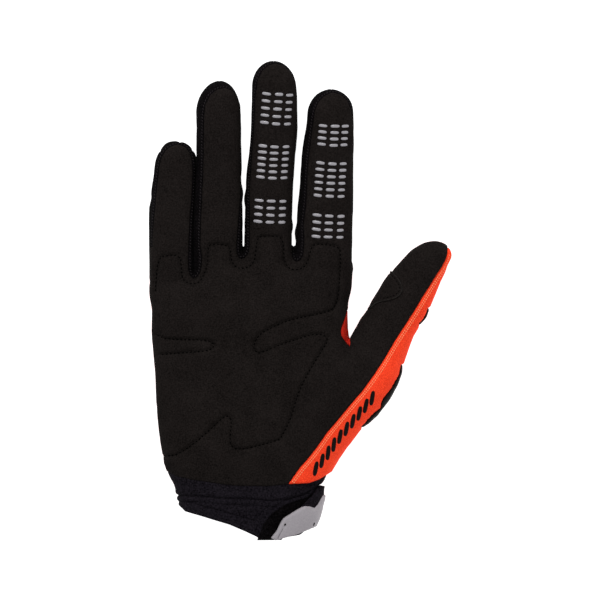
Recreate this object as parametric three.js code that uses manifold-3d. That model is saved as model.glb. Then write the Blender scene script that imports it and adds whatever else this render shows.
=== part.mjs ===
// Full-finger riding glove for the right hand, lying on its back with the palm up.
// It is sewn from a suede palm with four finger fronts and a thumb front, a thumb patch, a mesh back,
// finger backs, finger side strips, rubber guards, a wrist cuff and a hook-and-loop strap.
// Millimetres. +Z is up, +Y points to the fingertips, +X to the thumb. The part stands on Z = 0, with its
// origin under the middle of its bounding box.
import * as THREE from "three";
import { mergeVertices } from "three/addons/utils/BufferGeometryUtils.js";
import Module from "manifold-3d";

const wasm = await Module();
wasm.setup();

// Cloth walls and the gap between two sewn pieces
const WALL = 1.6;
const SEAM_GAP = 0.3;
const PATCH_THICKNESS = 0.9;
const GUARD_THICKNESS = 1.2;
const CUFF_WALL = 2.4;
const CLOSURE_THICKNESS = 1;
const STRAP_THICKNESS = 1.5;
const TAB_THICKNESS = 1.5;

// Palm: from the wrist seam to the knuckle line
const PALM_LENGTH = 111.5;
const PALM_DEPTH = 33;
const WEB_SLOPE = 7;
const SIDE_SEAM_HEIGHT = 7;

// Fingers, from the little finger to the index. The crotch is the dip before the finger, measured from
// the knuckle line. Seams are shares of the half width, on the left and right of the finger's front.
const FINGERS = [
  {
    name: "little", length: 61, width: 21.7, tipWidth: 20.9, depth: 17.5, lean: 1.6,
    gap: 0, crotch: 0, seamLeft: 0.71, seamRight: 0.93,
  },
  {
    name: "ring", length: 91, width: 24, tipWidth: 22.4, depth: 19.5, lean: 0.5,
    gap: 0.5, crotch: -8, seamLeft: 0.67, seamRight: 0.93,
  },
  {
    name: "middle", length: 101, width: 24.5, tipWidth: 23.4, depth: 20, lean: 2.1,
    gap: 0.75, crotch: 2, seamLeft: 0.8, seamRight: 0.93,
  },
  {
    name: "index", length: 87, width: 28.5, tipWidth: 23.4, depth: 20, lean: 2.4,
    gap: 1.5, crotch: 0, seamLeft: 0.72, seamRight: 0.93,
  },
];
const FINGER_ROOT = 26;
const TIP_DOME = 12;
// The back's seam under the knuckles, before the fingers' roots
const KNUCKLE_SEAM = 4;

// Thumb: its root lies over the wrist, and its length runs to the middle of the rounded tip
const THUMB_LENGTH = 116.8;
const THUMB_WIDTH = 27.3;
const THUMB_DEPTH = 25;
const THUMB_ANGLE = 33.8;
const THUMB_ROOT_OUT = 24.5;
const THUMB_ROOT_UP = 15;
const THUMB_DOME = 10.5;

// Cuff: an oval tube with a slanted hem, tucked into the hand's wrist
const CUFF_WIDTH = 72.5;
const CUFF_DEPTH = 30;
const CUFF_LENGTH = 27;
const CUFF_CENTRE = -1.6;
const CUFF_TUCK = 4;

// How finely each form is faceted
const PALM_SIDES = 32;
const FINGER_SIDES = 20;

// Palm sections beyond the wrist, up to the knuckles: along is a share of PALM_LENGTH, left and right are
// shares of the hand's width from its middle, and top is a share of PALM_DEPTH.
const PALM_SECTIONS = [
  { along: 0.065, left: -0.41, right: 0.385, top: 1.07 },
  { along: 0.12, left: -0.433, right: 0.415, top: 1.07 },
  { along: 0.27, left: -0.458, right: 0.5, top: 1.0 },
  { along: 0.42, left: -0.47, right: 0.56, top: 0.95 },
  { along: 0.55, left: -0.48, right: 0.545, top: 0.88 },
  { along: 0.64, left: -0.485, right: 0.487, top: 0.82 },
  { along: 0.78, left: -0.495, right: 0.478, top: 0.77 },
  { along: 0.9, left: -0.5, right: 0.493, top: 0.7 },
  { along: 1.0, left: -0.499, right: 0.499, top: 0.6 },
];

// The wrist seam's curve across the hand: x is a share of the hand's width, up of PALM_LENGTH.
const WRIST_LINE = [
  { x: -0.42, up: 0.056 },
  { x: -0.32, up: 0.036 },
  { x: -0.19, up: 0.018 },
  { x: -0.08, up: 0.004 },
  { x: 0.08, up: 0.0 },
  { x: 0.18, up: 0.004 },
  { x: 0.31, up: 0.018 },
  { x: 0.38, up: 0.042 },
];

// Finger sections: along is a share of the finger's length up to its dome, width a share of the way from
// the root's width to the tip's, depth a share of the finger's depth.
const FINGER_SECTIONS = [
  { along: 0.0, width: 0.0, depth: 1.04 },
  { along: 0.3, width: 0.15, depth: 1.0 },
  { along: 0.55, width: 0.42, depth: 0.98 },
  { along: 0.8, width: 0.82, depth: 0.96 },
  { along: 1.0, width: 1.0, depth: 0.94 },
];
// The finger's hidden root inside the palm: before is a share of FINGER_ROOT, size of the root's section.
const ROOT_SECTIONS = [
  { before: 1.0, size: 0.72 },
  { before: 0.4, size: 0.98 },
];
const DOME_ANGLES = [28, 52, 72, 84];

// Thumb sections: along and side are shares of THUMB_LENGTH, width of THUMB_WIDTH, depth of THUMB_DEPTH,
// and seam is the place of the front's outer seam, as a share of the half width.
const THUMB_SECTIONS = [
  { along: 0.0, side: 0.0, width: 1.2, depth: 1.22, seam: 0.23 },
  { along: 0.214, side: 0.011, width: 1.19, depth: 1.31, seam: 0.26 },
  { along: 0.469, side: 0.012, width: 1.33, depth: 1.25, seam: 0.325 },
  { along: 0.646, side: 0.01, width: 1.0, depth: 1.04, seam: 0.44 },
  { along: 0.849, side: -0.006, width: 0.96, depth: 0.96, seam: 0.5 },
  { along: 1.0, side: 0.004, width: 0.79, depth: 0.84, seam: 0.62 },
];

// Cuff sections from its tucked end to beyond its hem: down is a share of CUFF_LENGTH, width of
// CUFF_WIDTH.
const CUFF_SECTIONS = [
  { down: 0.0, width: 1.0 },
  { down: 0.4, width: 0.95 },
  { down: 0.8, width: 0.9 },
  { down: 1.2, width: 0.87 },
];

// The cuff's hem: x is a share of the cuff's width from its middle, down a share of CUFF_LENGTH.
const CUFF_HEM = [
  { x: -0.5, down: 0.42 },
  { x: -0.36, down: 0.56 },
  { x: -0.2, down: 0.67 },
  { x: -0.06, down: 0.83 },
  { x: 0.06, down: 0.97 },
  { x: 0.26, down: 0.92 },
  { x: 0.42, down: 0.66 },
  { x: 0.5, down: 0.4 },
];

// The patch in the thumb's crook, seen from above and clockwise from its lower left: along is a share of
// THUMB_LENGTH, and out of THUMB_WIDTH, to the right of the thumb's middle line.
const THUMB_PATCH_OUTLINE = [
  { along: 0.612, out: -0.595 }, { along: 0.687, out: -0.527 }, { along: 0.762, out: -0.473 },
  { along: 0.878, out: -0.492 }, { along: 0.878, out: -0.394 }, { along: 0.859, out: -0.22 },
  { along: 0.831, out: -0.144 }, { along: 0.791, out: -0.152 }, { along: 0.751, out: -0.255 },
  { along: 0.709, out: -0.45 }, { along: 0.668, out: -0.47 }, { along: 0.613, out: -0.486 },
];

// Rubber guards on the thumb's outer side: from and to are shares of THUMB_LENGTH, low and high are
// shares of THUMB_DEPTH above the ground.
const GUARDS = [
  { name: "thumb_guard", from: 0.73, to: 0.86, low: 0.16, high: 0.7 },
  { name: "hand_guard", from: 0.24, to: 0.52, low: 0.14, high: 0.78 },
];
const GUARD_REACH = 0.62;

// Outlines of the closure's layers on the palm side, and of the strap's band on the back: x is a share of
// the cuff's width from its middle, down a share of CUFF_LENGTH.
const CLOSURE_OUTLINE = [
  { x: -0.01, down: 0.98 }, { x: 0.07, down: 0.72 }, { x: 0.21, down: 0.45 }, { x: 0.42, down: 0.25 },
  { x: 0.49, down: 0.16 }, { x: 0.49, down: 0.5 }, { x: 0.36, down: 0.78 }, { x: 0.13, down: 0.98 },
];
const STRAP_FRONT = [
  { x: 0.2, down: 0.9 }, { x: 0.23, down: 0.7 }, { x: 0.3, down: 0.56 }, { x: 0.38, down: 0.48 },
  { x: 0.43, down: 0.5 }, { x: 0.47, down: 0.38 }, { x: 0.5, down: 0.14 }, { x: 0.62, down: 0.1 },
  { x: 0.62, down: 0.5 }, { x: 0.43, down: 0.7 }, { x: 0.33, down: 0.8 }, { x: 0.26, down: 0.88 },
];
const STRAP_BACK = [
  { x: -0.24, down: 0.6 }, { x: -0.22, down: 0.14 }, { x: 0.1, down: 0.08 }, { x: 0.62, down: 0.08 },
  { x: 0.62, down: 0.6 }, { x: 0.3, down: 0.64 }, { x: 0.0, down: 0.64 },
];
const TAB_OUTLINE = [
  { x: 0.152, down: 0.995 }, { x: 0.162, down: 0.86 }, { x: 0.218, down: 0.64 }, { x: 0.29, down: 0.5 },
  { x: 0.357, down: 0.392 }, { x: 0.382, down: 0.378 }, { x: 0.428, down: 0.413 }, { x: 0.449, down: 0.37 },
  { x: 0.473, down: 0.26 }, { x: 0.5, down: 0.1 }, { x: 0.56, down: 0.1 }, { x: 0.56, down: 0.5 },
  { x: 0.433, down: 0.77 }, { x: 0.382, down: 0.824 }, { x: 0.336, down: 0.866 }, { x: 0.265, down: 0.952 },
];

// How far down the cuff's side the tab reaches, as a share of CUFF_DEPTH
const TAB_FOOT = 0.45;

// Margins for cutters, and the height that clears every piece
const CLEAR = 5;
const SKY = 2 * Math.max(PALM_DEPTH, THUMB_DEPTH, CUFF_DEPTH);

// How round a section is: 2 is an ellipse, and more is squarer
const SQUARENESS = 2.5;
const FLATTENING = 1.12;

const rad = THREE.MathUtils.degToRad;
const HAND_WIDTH = FINGERS.reduce((sum, f) => sum + f.gap + f.width, 0);
const CUFF_LIFT = SEAM_GAP + CLOSURE_THICKNESS + SEAM_GAP + STRAP_THICKNESS;

// Value of a table's column at x, between its rows.
function between(table, key, value, x) {
  const next = table.findIndex((row) => row[key] > x);
  if (next === 0) return table[0][value];
  if (next < 0) return table.at(-1)[value];
  const [a, b] = [table[next - 1], table[next]];
  return THREE.MathUtils.mapLinear(x, a[key], b[key], a[value], b[value]);
}

// One oval ring of a form, flattened where it rests. across points to the ring's right, and shift gives
// how far forward a point lies for its place across (-1 to 1) and its height (0 to 1).
function ring({ centre, across, half, foot, top, sides, grow, shift = () => 0 }) {
  const low = foot - grow;
  const middle = (top + foot) / 2;
  const power = 2 / SQUARENESS;
  const forward = new THREE.Vector2(-across.y, across.x);
  return Array.from({ length: sides }, (_, i) => {
    const angle = (2 * Math.PI * (i + 0.5)) / sides;
    const [c, s] = [Math.cos(angle), Math.sin(angle)];
    const u = Math.sign(c) * Math.abs(c) ** power;
    const w = Math.sign(s) * Math.abs(s) ** power;
    const rise = w > 0 ? top + grow - middle : (middle - low) * FLATTENING;
    const z = Math.max(low, middle + rise * w);
    const plan = centre.clone().addScaledVector(across, u * (half + grow));
    plan.addScaledVector(forward, shift(u, (z - low) / (top + grow - low), plan));
    return new THREE.Vector3(plan.x, plan.y, z);
  });
}

// A solid through rings of points. Each end is closed by strips from a ring's top to its foot.
function loft(rings) {
  const sides = rings[0].length;
  const points = rings.flat();
  const index = [];
  for (let k = 0; k + 1 < rings.length; k++)
    for (let i = 0; i < sides; i++) {
      const [a, b] = [k * sides + i, k * sides + ((i + 1) % sides)];
      index.push(a, a + sides, b + sides, a, b + sides, b);
    }
  for (const [first, turned] of [[0, false], [(rings.length - 1) * sides, true]])
    for (let i = 0; i + 1 < sides / 2; i++) {
      const [a, b] = [first + i, first + i + 1];
      const [c, d] = [first + sides - 2 - i, first + sides - 1 - i];
      if (turned) index.push(a, c, b, a, d, c);
      else index.push(a, b, c, a, c, d);
    }
  const geometry = new THREE.BufferGeometry().setFromPoints(points);
  geometry.setIndex(index);
  return solid(geometry);
}

// A three.js geometry as a manifold-3d solid.
function solid(geometry) {
  const bare = geometry.clone();
  bare.deleteAttribute("normal");
  bare.deleteAttribute("uv");
  const merged = mergeVertices(bare, 1e-4);
  const vertProperties = merged.getAttribute("position").array;
  const triVerts = new Uint32Array(merged.index.array);
  return new wasm.Manifold(new wasm.Mesh({ numProp: 3, vertProperties, triVerts }));
}

// An upright block over an outline, from one height to another.
function prism(outline, low = -SKY, high = SKY) {
  const extent = { depth: high - low, bevelEnabled: false };
  const block = new THREE.ExtrudeGeometry(new THREE.Shape(outline), extent);
  return solid(block.translate(0, 0, low));
}

// A cut shape without the crumbs that two nearly parallel faces leave beside it.
function tidy(shape) {
  const crumb = shape.volume() / 100;
  return union(shape.decompose().filter((body) => Math.abs(body.volume()) > crumb));
}

// An outline moved outwards by a distance, or inwards if it is negative. The outline runs clockwise.
function offset(outline, distance) {
  const n = outline.length;
  return outline.map((p, i) => {
    const before = p.clone().sub(outline[(i + n - 1) % n]).normalize();
    const after = outline[(i + 1) % n].clone().sub(p).normalize();
    const tangent = before.add(after).normalize();
    return new THREE.Vector2(p.x - tangent.y * distance, p.y + tangent.x * distance);
  });
}

function union(solids) {
  return solids.reduce((sum, next) => sum.add(next));
}

const wristLine = (x) => between(WRIST_LINE, "x", "up", x / HAND_WIDTH) * PALM_LENGTH;

// Each finger's place: its root's middle on the knuckle line, and its direction.
function placeFingers() {
  let edge = -HAND_WIDTH / 2;
  return FINGERS.map((finger) => {
    const x = edge + finger.gap + finger.width / 2;
    edge = x + finger.width / 2;
    const lean = rad(finger.lean);
    const forward = new THREE.Vector2(Math.sin(lean), Math.cos(lean));
    const across = new THREE.Vector2(forward.y, -forward.x);
    return { ...finger, root: new THREE.Vector2(x, PALM_LENGTH), forward, across };
  });
}
const placed = placeFingers();

// How far a dip between two fingers, or the hand's edge, lies past the knuckle line at x.
function knuckleLine(x) {
  const dips = placed.slice(1).map((f) => ({ x: f.root.x - f.width / 2 - f.gap / 2, up: f.crotch }));
  const left = { x: -HAND_WIDTH / 2, up: placed[1].crotch - 3 };
  const right = { x: HAND_WIDTH / 2, up: placed[3].crotch - 3 };
  return between([left, ...dips, right], "x", "up", x);
}

// The palm's form. Its wrist end closes round the cuff, and its inside is open there.
function palmForm(grow) {
  const across = new THREE.Vector2(1, 0);
  const room = SEAM_GAP + WALL;
  const wrist = ring({
    centre: new THREE.Vector2(CUFF_CENTRE, grow < 0 ? -CLEAR : 0), across, half: CUFF_WIDTH / 2 + room,
    foot: CUFF_LIFT - room, top: CUFF_LIFT + CUFF_DEPTH + room, sides: PALM_SIDES, grow,
    shift: (u, w, plan) => wristLine(plan.x),
  });
  const last = PALM_SECTIONS.length - 1;
  const rings = PALM_SECTIONS.map((row, k) => {
    const [left, right] = [row.left * HAND_WIDTH, row.right * HAND_WIDTH];
    const end = k === last ? grow : 0;
    return ring({
      centre: new THREE.Vector2((left + right) / 2, row.along * PALM_LENGTH + end), across,
      half: (right - left) / 2, foot: 0, top: row.top * PALM_DEPTH, sides: PALM_SIDES, grow,
      shift: (u, w, plan) => (k === last ? knuckleLine(plan.x) + WEB_SLOPE * (1 - w) : 0),
    });
  });
  return loft([wrist, ...rings]);
}

// A finger's half width and depth at a share of its straight length.
function fingerSize(finger, along) {
  const taper = between(FINGER_SECTIONS, "along", "width", along);
  return {
    half: THREE.MathUtils.lerp(finger.width, finger.tipWidth, taper) / 2,
    depth: finger.depth * between(FINGER_SECTIONS, "along", "depth", along),
  };
}

// The rings of a rounded tip, from the last straight section onwards.
function domeRings({ middle, forward, across, half, depth, length, grow, sides }) {
  return DOME_ANGLES.map((degrees) => {
    const shrink = Math.cos(rad(degrees));
    const advance = (length + grow) * Math.sin(rad(degrees));
    const level = depth * 0.46;
    const foot = level * (1 - shrink) * 0.85;
    return ring({
      centre: middle.clone().addScaledVector(forward, advance),
      across,
      half: half * shrink,
      foot,
      top: level + (depth - level) * shrink,
      sides,
      grow: grow * shrink,
    });
  });
}

function fingerForm(finger, grow) {
  const { root, forward, across } = finger;
  const straight = finger.length - TIP_DOME;
  const place = (distance) => root.clone().addScaledVector(forward, distance);
  const rootSize = fingerSize(finger, 0);
  const rings = ROOT_SECTIONS.map(({ before, size }) =>
    ring({
      centre: place(-before * FINGER_ROOT), across, half: rootSize.half * size, foot: 0,
      top: rootSize.depth * size, sides: FINGER_SIDES, grow,
    }),
  );
  for (const { along } of FINGER_SECTIONS) {
    const { half, depth } = fingerSize(finger, along);
    const centre = place(along * straight);
    rings.push(ring({ centre, across, half, foot: 0, top: depth, sides: FINGER_SIDES, grow }));
  }
  const tip = fingerSize(finger, 1);
  const middle = place(straight);
  rings.push(...domeRings({ middle, forward, across, ...tip, length: TIP_DOME, grow, sides: FINGER_SIDES }));
  return loft(rings);
}

// The thumb's middle line, and a point on it moved out by a distance.
const thumbForward = new THREE.Vector2(Math.sin(rad(THUMB_ANGLE)), Math.cos(rad(THUMB_ANGLE)));
const thumbAcross = new THREE.Vector2(thumbForward.y, -thumbForward.x);
function thumbPoint(along, out = 0) {
  const side = between(THUMB_SECTIONS, "along", "side", along) * THUMB_LENGTH;
  return new THREE.Vector2(THUMB_ROOT_OUT, THUMB_ROOT_UP)
    .addScaledVector(thumbForward, along * THUMB_LENGTH)
    .addScaledVector(thumbAcross, side + out);
}
const thumbHalf = (along) => (between(THUMB_SECTIONS, "along", "width", along) * THUMB_WIDTH) / 2;

function thumbForm(grow) {
  const rings = THUMB_SECTIONS.map((row) =>
    ring({
      centre: thumbPoint(row.along), across: thumbAcross, half: thumbHalf(row.along), foot: 0,
      top: row.depth * THUMB_DEPTH, sides: FINGER_SIDES, grow,
    }),
  );
  const depth = THUMB_SECTIONS.at(-1).depth * THUMB_DEPTH;
  rings.push(...domeRings({
    middle: thumbPoint(1), forward: thumbForward, across: thumbAcross, half: thumbHalf(1), depth,
    length: THUMB_DOME, grow, sides: FINGER_SIDES,
  }));
  return loft(rings);
}

// The whole hand's form, thicker or thinner by grow.
function handForm(grow) {
  return union([palmForm(grow), thumbForm(grow), ...placed.map((finger) => fingerForm(finger, grow))]);
}

// The space below the wrist seam's curve, which no sewn hand piece enters.
function belowWrist() {
  const line = WRIST_LINE.map((row) => new THREE.Vector2(row.x * HAND_WIDTH, row.up * PALM_LENGTH));
  const reach = HAND_WIDTH;
  return prism([
    new THREE.Vector2(-reach, -reach),
    new THREE.Vector2(-reach, line[0].y),
    ...line,
    new THREE.Vector2(reach, line.at(-1).y),
    new THREE.Vector2(reach, -reach),
  ]);
}

const thumbPlace = (row) => thumbPoint(row.along, row.out * THUMB_WIDTH);
const cuffPlace = (row) =>
  new THREE.Vector2((row.x + CUFF_CENTRE / CUFF_WIDTH) * CUFF_WIDTH, -row.down * CUFF_LENGTH);

// A point of a finger's seam: side is -1 for left, and along runs from the root to the dome.
function seamPoint(finger, along, side) {
  const straight = finger.length - TIP_DOME;
  const share = side < 0 ? finger.seamLeft : finger.seamRight;
  const out = side * share * fingerSize(finger, along).half;
  const middle = finger.root.clone().addScaledVector(finger.forward, along * straight);
  return middle.addScaledVector(finger.across, out);
}

// The seam round a fingertip, from its left side to its right.
function tipSeam(finger) {
  const left = seamPoint(finger, 1, -1);
  const right = seamPoint(finger, 1, 1);
  const middle = left.clone().add(right).divideScalar(2);
  const half = left.distanceTo(right) / 2;
  const rise = TIP_DOME * 0.86;
  return [-50, -22, 0, 22, 50].map((degrees) =>
    middle.clone()
      .addScaledVector(finger.across, half * Math.sin(rad(degrees)))
      .addScaledVector(finger.forward, rise * Math.cos(rad(degrees))),
  );
}

// The front panel's outline seen from above. Where the panel wraps round the hand's edge, the outline
// runs outside it.
function frontOutline() {
  const outside = -HAND_WIDTH / 2 - CLEAR;
  const points = [new THREE.Vector2(outside, -CLEAR), new THREE.Vector2(outside, PALM_LENGTH * 1.04)];
  placed.forEach((finger, i) => {
    const before = placed[i - 1];
    if (before) {
      const bottom = PALM_LENGTH + finger.crotch;
      const depth = 5;
      const from = seamPoint(before, 0, 1).x;
      const to = seamPoint(finger, 0, -1).x;
      for (const degrees of [0, 45, 90, 135, 180]) {
        const x = (from + to) / 2 - ((to - from) / 2) * Math.cos(rad(degrees));
        points.push(new THREE.Vector2(x, bottom + depth * (1 - Math.sin(rad(degrees)))));
      }
    }
    const start = before ? 0.15 : 0.4;
    for (const along of [start, (start + 1) / 2, 1]) points.push(seamPoint(finger, along, -1));
    points.push(...tipSeam(finger));
    for (const along of [1, 0.5, 0.15]) points.push(seamPoint(finger, along, 1));
  });
  const edge = HAND_WIDTH / 2;
  points.push(
    new THREE.Vector2(edge * 0.98, PALM_LENGTH * 0.9),
    new THREE.Vector2(edge * 0.955, PALM_LENGTH * 0.78),
    new THREE.Vector2(edge * 0.89, PALM_LENGTH * 0.7),
    new THREE.Vector2(edge * 0.93, PALM_LENGTH * 0.65),
    new THREE.Vector2(edge * 0.985, PALM_LENGTH * 0.632),
  );
  points.push(thumbPoint(0.646, -thumbHalf(0.646) - CLEAR), thumbPoint(1, -thumbHalf(1) - CLEAR));
  points.push(thumbPoint(1 + (THUMB_DOME + CLEAR) / THUMB_LENGTH, 0));
  for (const row of [...THUMB_SECTIONS].reverse()) {
    points.push(thumbPoint(row.along, row.seam * thumbHalf(row.along)));
  }
  points.push(new THREE.Vector2(0.19 * HAND_WIDTH, -CLEAR));
  return points;
}

const halfGap = SEAM_GAP / 2;
const outer = handForm(0).subtract(belowWrist());
const shell = outer.subtract(handForm(-WALL));
const front = frontOutline();
const frontRoom = prism(offset(front, halfGap), SIDE_SEAM_HEIGHT - halfGap, SKY);

// A block over the plan between two lines that run to the fingertips.
function stripBetween(left, right, low, high) {
  return prism([left[0], left[1], right[1], right[0]], low, high);
}

// A line in the plan through two points, from a distance before the first to far beyond the fingertips.
function longLine(start, end, before) {
  const direction = end.clone().sub(start).normalize();
  const reach = 2 * Math.max(...FINGERS.map((f) => f.length));
  return [-before, reach].map((distance) => start.clone().addScaledVector(direction, distance));
}

// The line along a finger, moved out to its right.
function fingerLine(finger, out, before) {
  const start = finger.root.clone().addScaledVector(finger.across, out);
  return longLine(start, start.clone().add(finger.forward), before);
}

// A point on a finger's side, at a distance from its root.
function sidePoint(finger, side, distance) {
  const out = side * fingerSize(finger, distance / (finger.length - TIP_DOME)).half;
  return finger.root.clone().addScaledVector(finger.forward, distance).addScaledVector(finger.across, out);
}

// The line halfway between a finger and the next one, moved out to its right.
function dividingLine(i, out, before) {
  const [finger, next] = [placed[i], placed[i + 1]];
  const distance = Math.min(finger.length, next.length) - TIP_DOME;
  const [start, end] = [0, distance].map((d) => {
    const point = sidePoint(finger, 1, d).add(sidePoint(next, -1, d)).divideScalar(2);
    return point.add(new THREE.Vector2(out, 0));
  });
  return longLine(start, end, before);
}

function palmPanel() {
  return shell.intersect(prism(offset(front, -halfGap), SIDE_SEAM_HEIGHT + halfGap, SKY));
}

// The plan of one finger beyond the back's knuckle seam. before says where it starts.
function fingerStrip(i, before, low, high) {
  const first = placed[0];
  const last = placed.at(-1);
  const left = i ? dividingLine(i - 1, halfGap, before) : fingerLine(first, -first.width, before);
  const right = placed[i + 1] ? dividingLine(i, -halfGap, before) : fingerLine(last, last.width, before);
  return stripBetween(left, right, low, high);
}

// A finger's back. The index's also covers its outer side, up to the front panel.
function fingerBack(i) {
  const before = KNUCKLE_SEAM - halfGap;
  const under = fingerStrip(i, before, -CLEAR, SIDE_SEAM_HEIGHT - halfGap);
  if (placed[i + 1]) return shell.intersect(under);
  const last = placed[i];
  const lines = [fingerLine(last, halfGap, before), fingerLine(last, last.width, before)];
  const side = stripBetween(...lines, SIDE_SEAM_HEIGHT - SEAM_GAP, SKY);
  return shell.subtract(frontRoom).intersect(under.add(side));
}

// A side strip between two lines, above the side seam and round the tips, down to before the roots.
function sideStrip(left, right) {
  return shell.subtract(frontRoom).intersect(stripBetween(left, right, SIDE_SEAM_HEIGHT + halfGap, SKY));
}

// The strip on the sides that two fingers turn to each other, and through the dip between them.
function fourchette(i) {
  const left = fingerLine(placed[i], halfGap, FINGER_ROOT);
  const right = fingerLine(placed[i + 1], -halfGap, FINGER_ROOT);
  return sideStrip(left, right);
}

function littleSide() {
  const finger = placed[0];
  return sideStrip(fingerLine(finger, -finger.width, 0), fingerLine(finger, -halfGap, 0));
}

// The mesh back: everything of the hand under the side seam and below the knuckles, and the whole outer
// side of the thumb and of the index's root up to the front panel.
function backPanel() {
  const reach = 2 * HAND_WIDTH;
  const far = PALM_LENGTH + reach;
  const all = [[-reach, -reach], [-reach, far], [reach, far], [reach, -reach]];
  const side = [[0, -reach], [0, far], [reach, far], [reach, -reach]];
  const block = (corners, low, high) => prism(corners.map(([x, y]) => new THREE.Vector2(x, y)), low, high);
  const below = block(all, -CLEAR, SIDE_SEAM_HEIGHT - halfGap);
  const room = below.add(block(side, SIDE_SEAM_HEIGHT - SEAM_GAP, SKY));
  const left = fingerLine(placed[0], -placed[0].width, KNUCKLE_SEAM + halfGap);
  const right = fingerLine(placed.at(-1), placed.at(-1).width, KNUCKLE_SEAM + halfGap);
  return shell.subtract(frontRoom).intersect(room).subtract(stripBetween(left, right, -CLEAR, SKY));
}

// A piece sewn on the hand's outside, over an outline.
function patch(outline, thickness, low = SIDE_SEAM_HEIGHT + halfGap) {
  const skin = handForm(SEAM_GAP + thickness).subtract(handForm(SEAM_GAP));
  return skin.intersect(prism(outline, low, SKY));
}

function guard({ from, to, low, high }) {
  const inside = (along) => thumbPoint(along, GUARD_REACH * thumbHalf(along));
  const outside = (along) => thumbPoint(along, thumbHalf(along) + CLEAR);
  const stations = [from, (from + to) / 2, to];
  const outline = [...stations.map(inside), ...stations.reverse().map(outside)];
  const skin = handForm(SEAM_GAP + GUARD_THICKNESS).subtract(handForm(SEAM_GAP));
  return skin.intersect(prism(outline, low * THUMB_DEPTH, high * THUMB_DEPTH));
}

// The cuff's oval tube, from beyond its hem to its tucked end, which follows the wrist seam.
function cuffForm(grow) {
  const rings = [...CUFF_SECTIONS].reverse().map((row) =>
    ring({
      centre: new THREE.Vector2(CUFF_CENTRE, -row.down * CUFF_LENGTH + (row.down > 0 ? 0 : CUFF_TUCK - grow)),
      across: new THREE.Vector2(1, 0), half: (row.width * CUFF_WIDTH) / 2, foot: CUFF_LIFT,
      top: CUFF_LIFT + CUFF_DEPTH, sides: PALM_SIDES, grow,
      shift: (u, w, plan) => (row.down > 0 ? 0 : wristLine(plan.x)),
    }),
  );
  return loft(rings);
}

function cuff() {
  const hem = CUFF_HEM.map((row) => cuffPlace(row));
  const reach = CUFF_WIDTH;
  const kept = prism([
    new THREE.Vector2(-reach, hem[0].y), new THREE.Vector2(-reach, reach), new THREE.Vector2(reach, reach),
    new THREE.Vector2(reach, hem.at(-1).y), ...hem.reverse(),
  ]);
  return cuffForm(0).subtract(cuffForm(-CUFF_WALL)).intersect(kept);
}

// A layer on the cuff's outside, over an outline, above a level.
function cuffLayer(lift, thickness, outline, low, high) {
  const skin = cuffForm(lift + thickness).subtract(cuffForm(lift));
  return skin.intersect(prism(outline.map(cuffPlace), low, high)).subtract(handForm(SEAM_GAP));
}

const CUFF_MIDDLE = CUFF_LIFT + CUFF_DEPTH / 2;
const STRAP_LIFT = SEAM_GAP + CLOSURE_THICKNESS + SEAM_GAP;

function closurePatch() {
  return cuffLayer(SEAM_GAP, CLOSURE_THICKNESS, CLOSURE_OUTLINE, CUFF_MIDDLE, SKY);
}

function strap() {
  const onFront = cuffLayer(STRAP_LIFT, STRAP_THICKNESS, STRAP_FRONT, CUFF_MIDDLE, SKY);
  const onBack = cuffLayer(STRAP_LIFT, STRAP_THICKNESS, STRAP_BACK, -CLEAR, CUFF_MIDDLE + SEAM_GAP);
  return onFront.add(onBack);
}

function tab() {
  const lift = STRAP_LIFT + STRAP_THICKNESS + SEAM_GAP;
  return cuffLayer(lift, TAB_THICKNESS, TAB_OUTLINE, CUFF_LIFT + CUFF_DEPTH * TAB_FOOT, SKY);
}

const suede = { color: 0x1d1a18, roughness: 0.95 };
const mesh = { color: 0xee4527, roughness: 0.85 };
const knit = { color: 0x131214, roughness: 0.9 };
const neoprene = { color: 0x17161a, roughness: 0.9 };
const rubber = { color: 0x1a1715, roughness: 0.55 };
const webbing = { color: 0x0c0b0d, roughness: 1 };
const greyRubber = { color: 0x98929a, roughness: 0.5 };

const glove = new THREE.Group();

function piece(name, shape, finish) {
  const { vertProperties, triVerts } = tidy(shape).getMesh();
  const geometry = new THREE.BufferGeometry();
  geometry.setAttribute("position", new THREE.BufferAttribute(vertProperties, 3));
  geometry.setIndex(new THREE.BufferAttribute(triVerts, 1));
  geometry.computeVertexNormals();
  const made = new THREE.Mesh(geometry, new THREE.MeshStandardMaterial({ metalness: 0, ...finish }));
  made.name = name;
  glove.add(made);
}

piece("palm_panel", palmPanel(), suede);
piece("back_panel", backPanel(), mesh);
placed.forEach((finger, i) => piece(`${finger.name}_back`, fingerBack(i), knit));
piece("little_side", littleSide(), knit);
piece("little_ring_fourchette", fourchette(0), knit);
piece("ring_middle_fourchette", fourchette(1), knit);
piece("middle_index_fourchette", fourchette(2), knit);
piece("thumb_patch", patch(THUMB_PATCH_OUTLINE.map(thumbPlace), PATCH_THICKNESS), suede);
GUARDS.forEach((row) => piece(row.name, guard(row), rubber));
piece("cuff", cuff(), neoprene);
piece("closure_patch", closurePatch(), webbing);
piece("wrist_strap", strap(), webbing);
piece("strap_tab", tab(), greyRubber);

// The origin goes under the middle of the glove
const middle = new THREE.Box3().setFromObject(glove).getCenter(new THREE.Vector3());
glove.position.set(-middle.x, -middle.y, 0);

export default glove;
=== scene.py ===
import bpy
import numpy as np
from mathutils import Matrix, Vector
from mathutils.bvhtree import BVHTree


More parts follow.
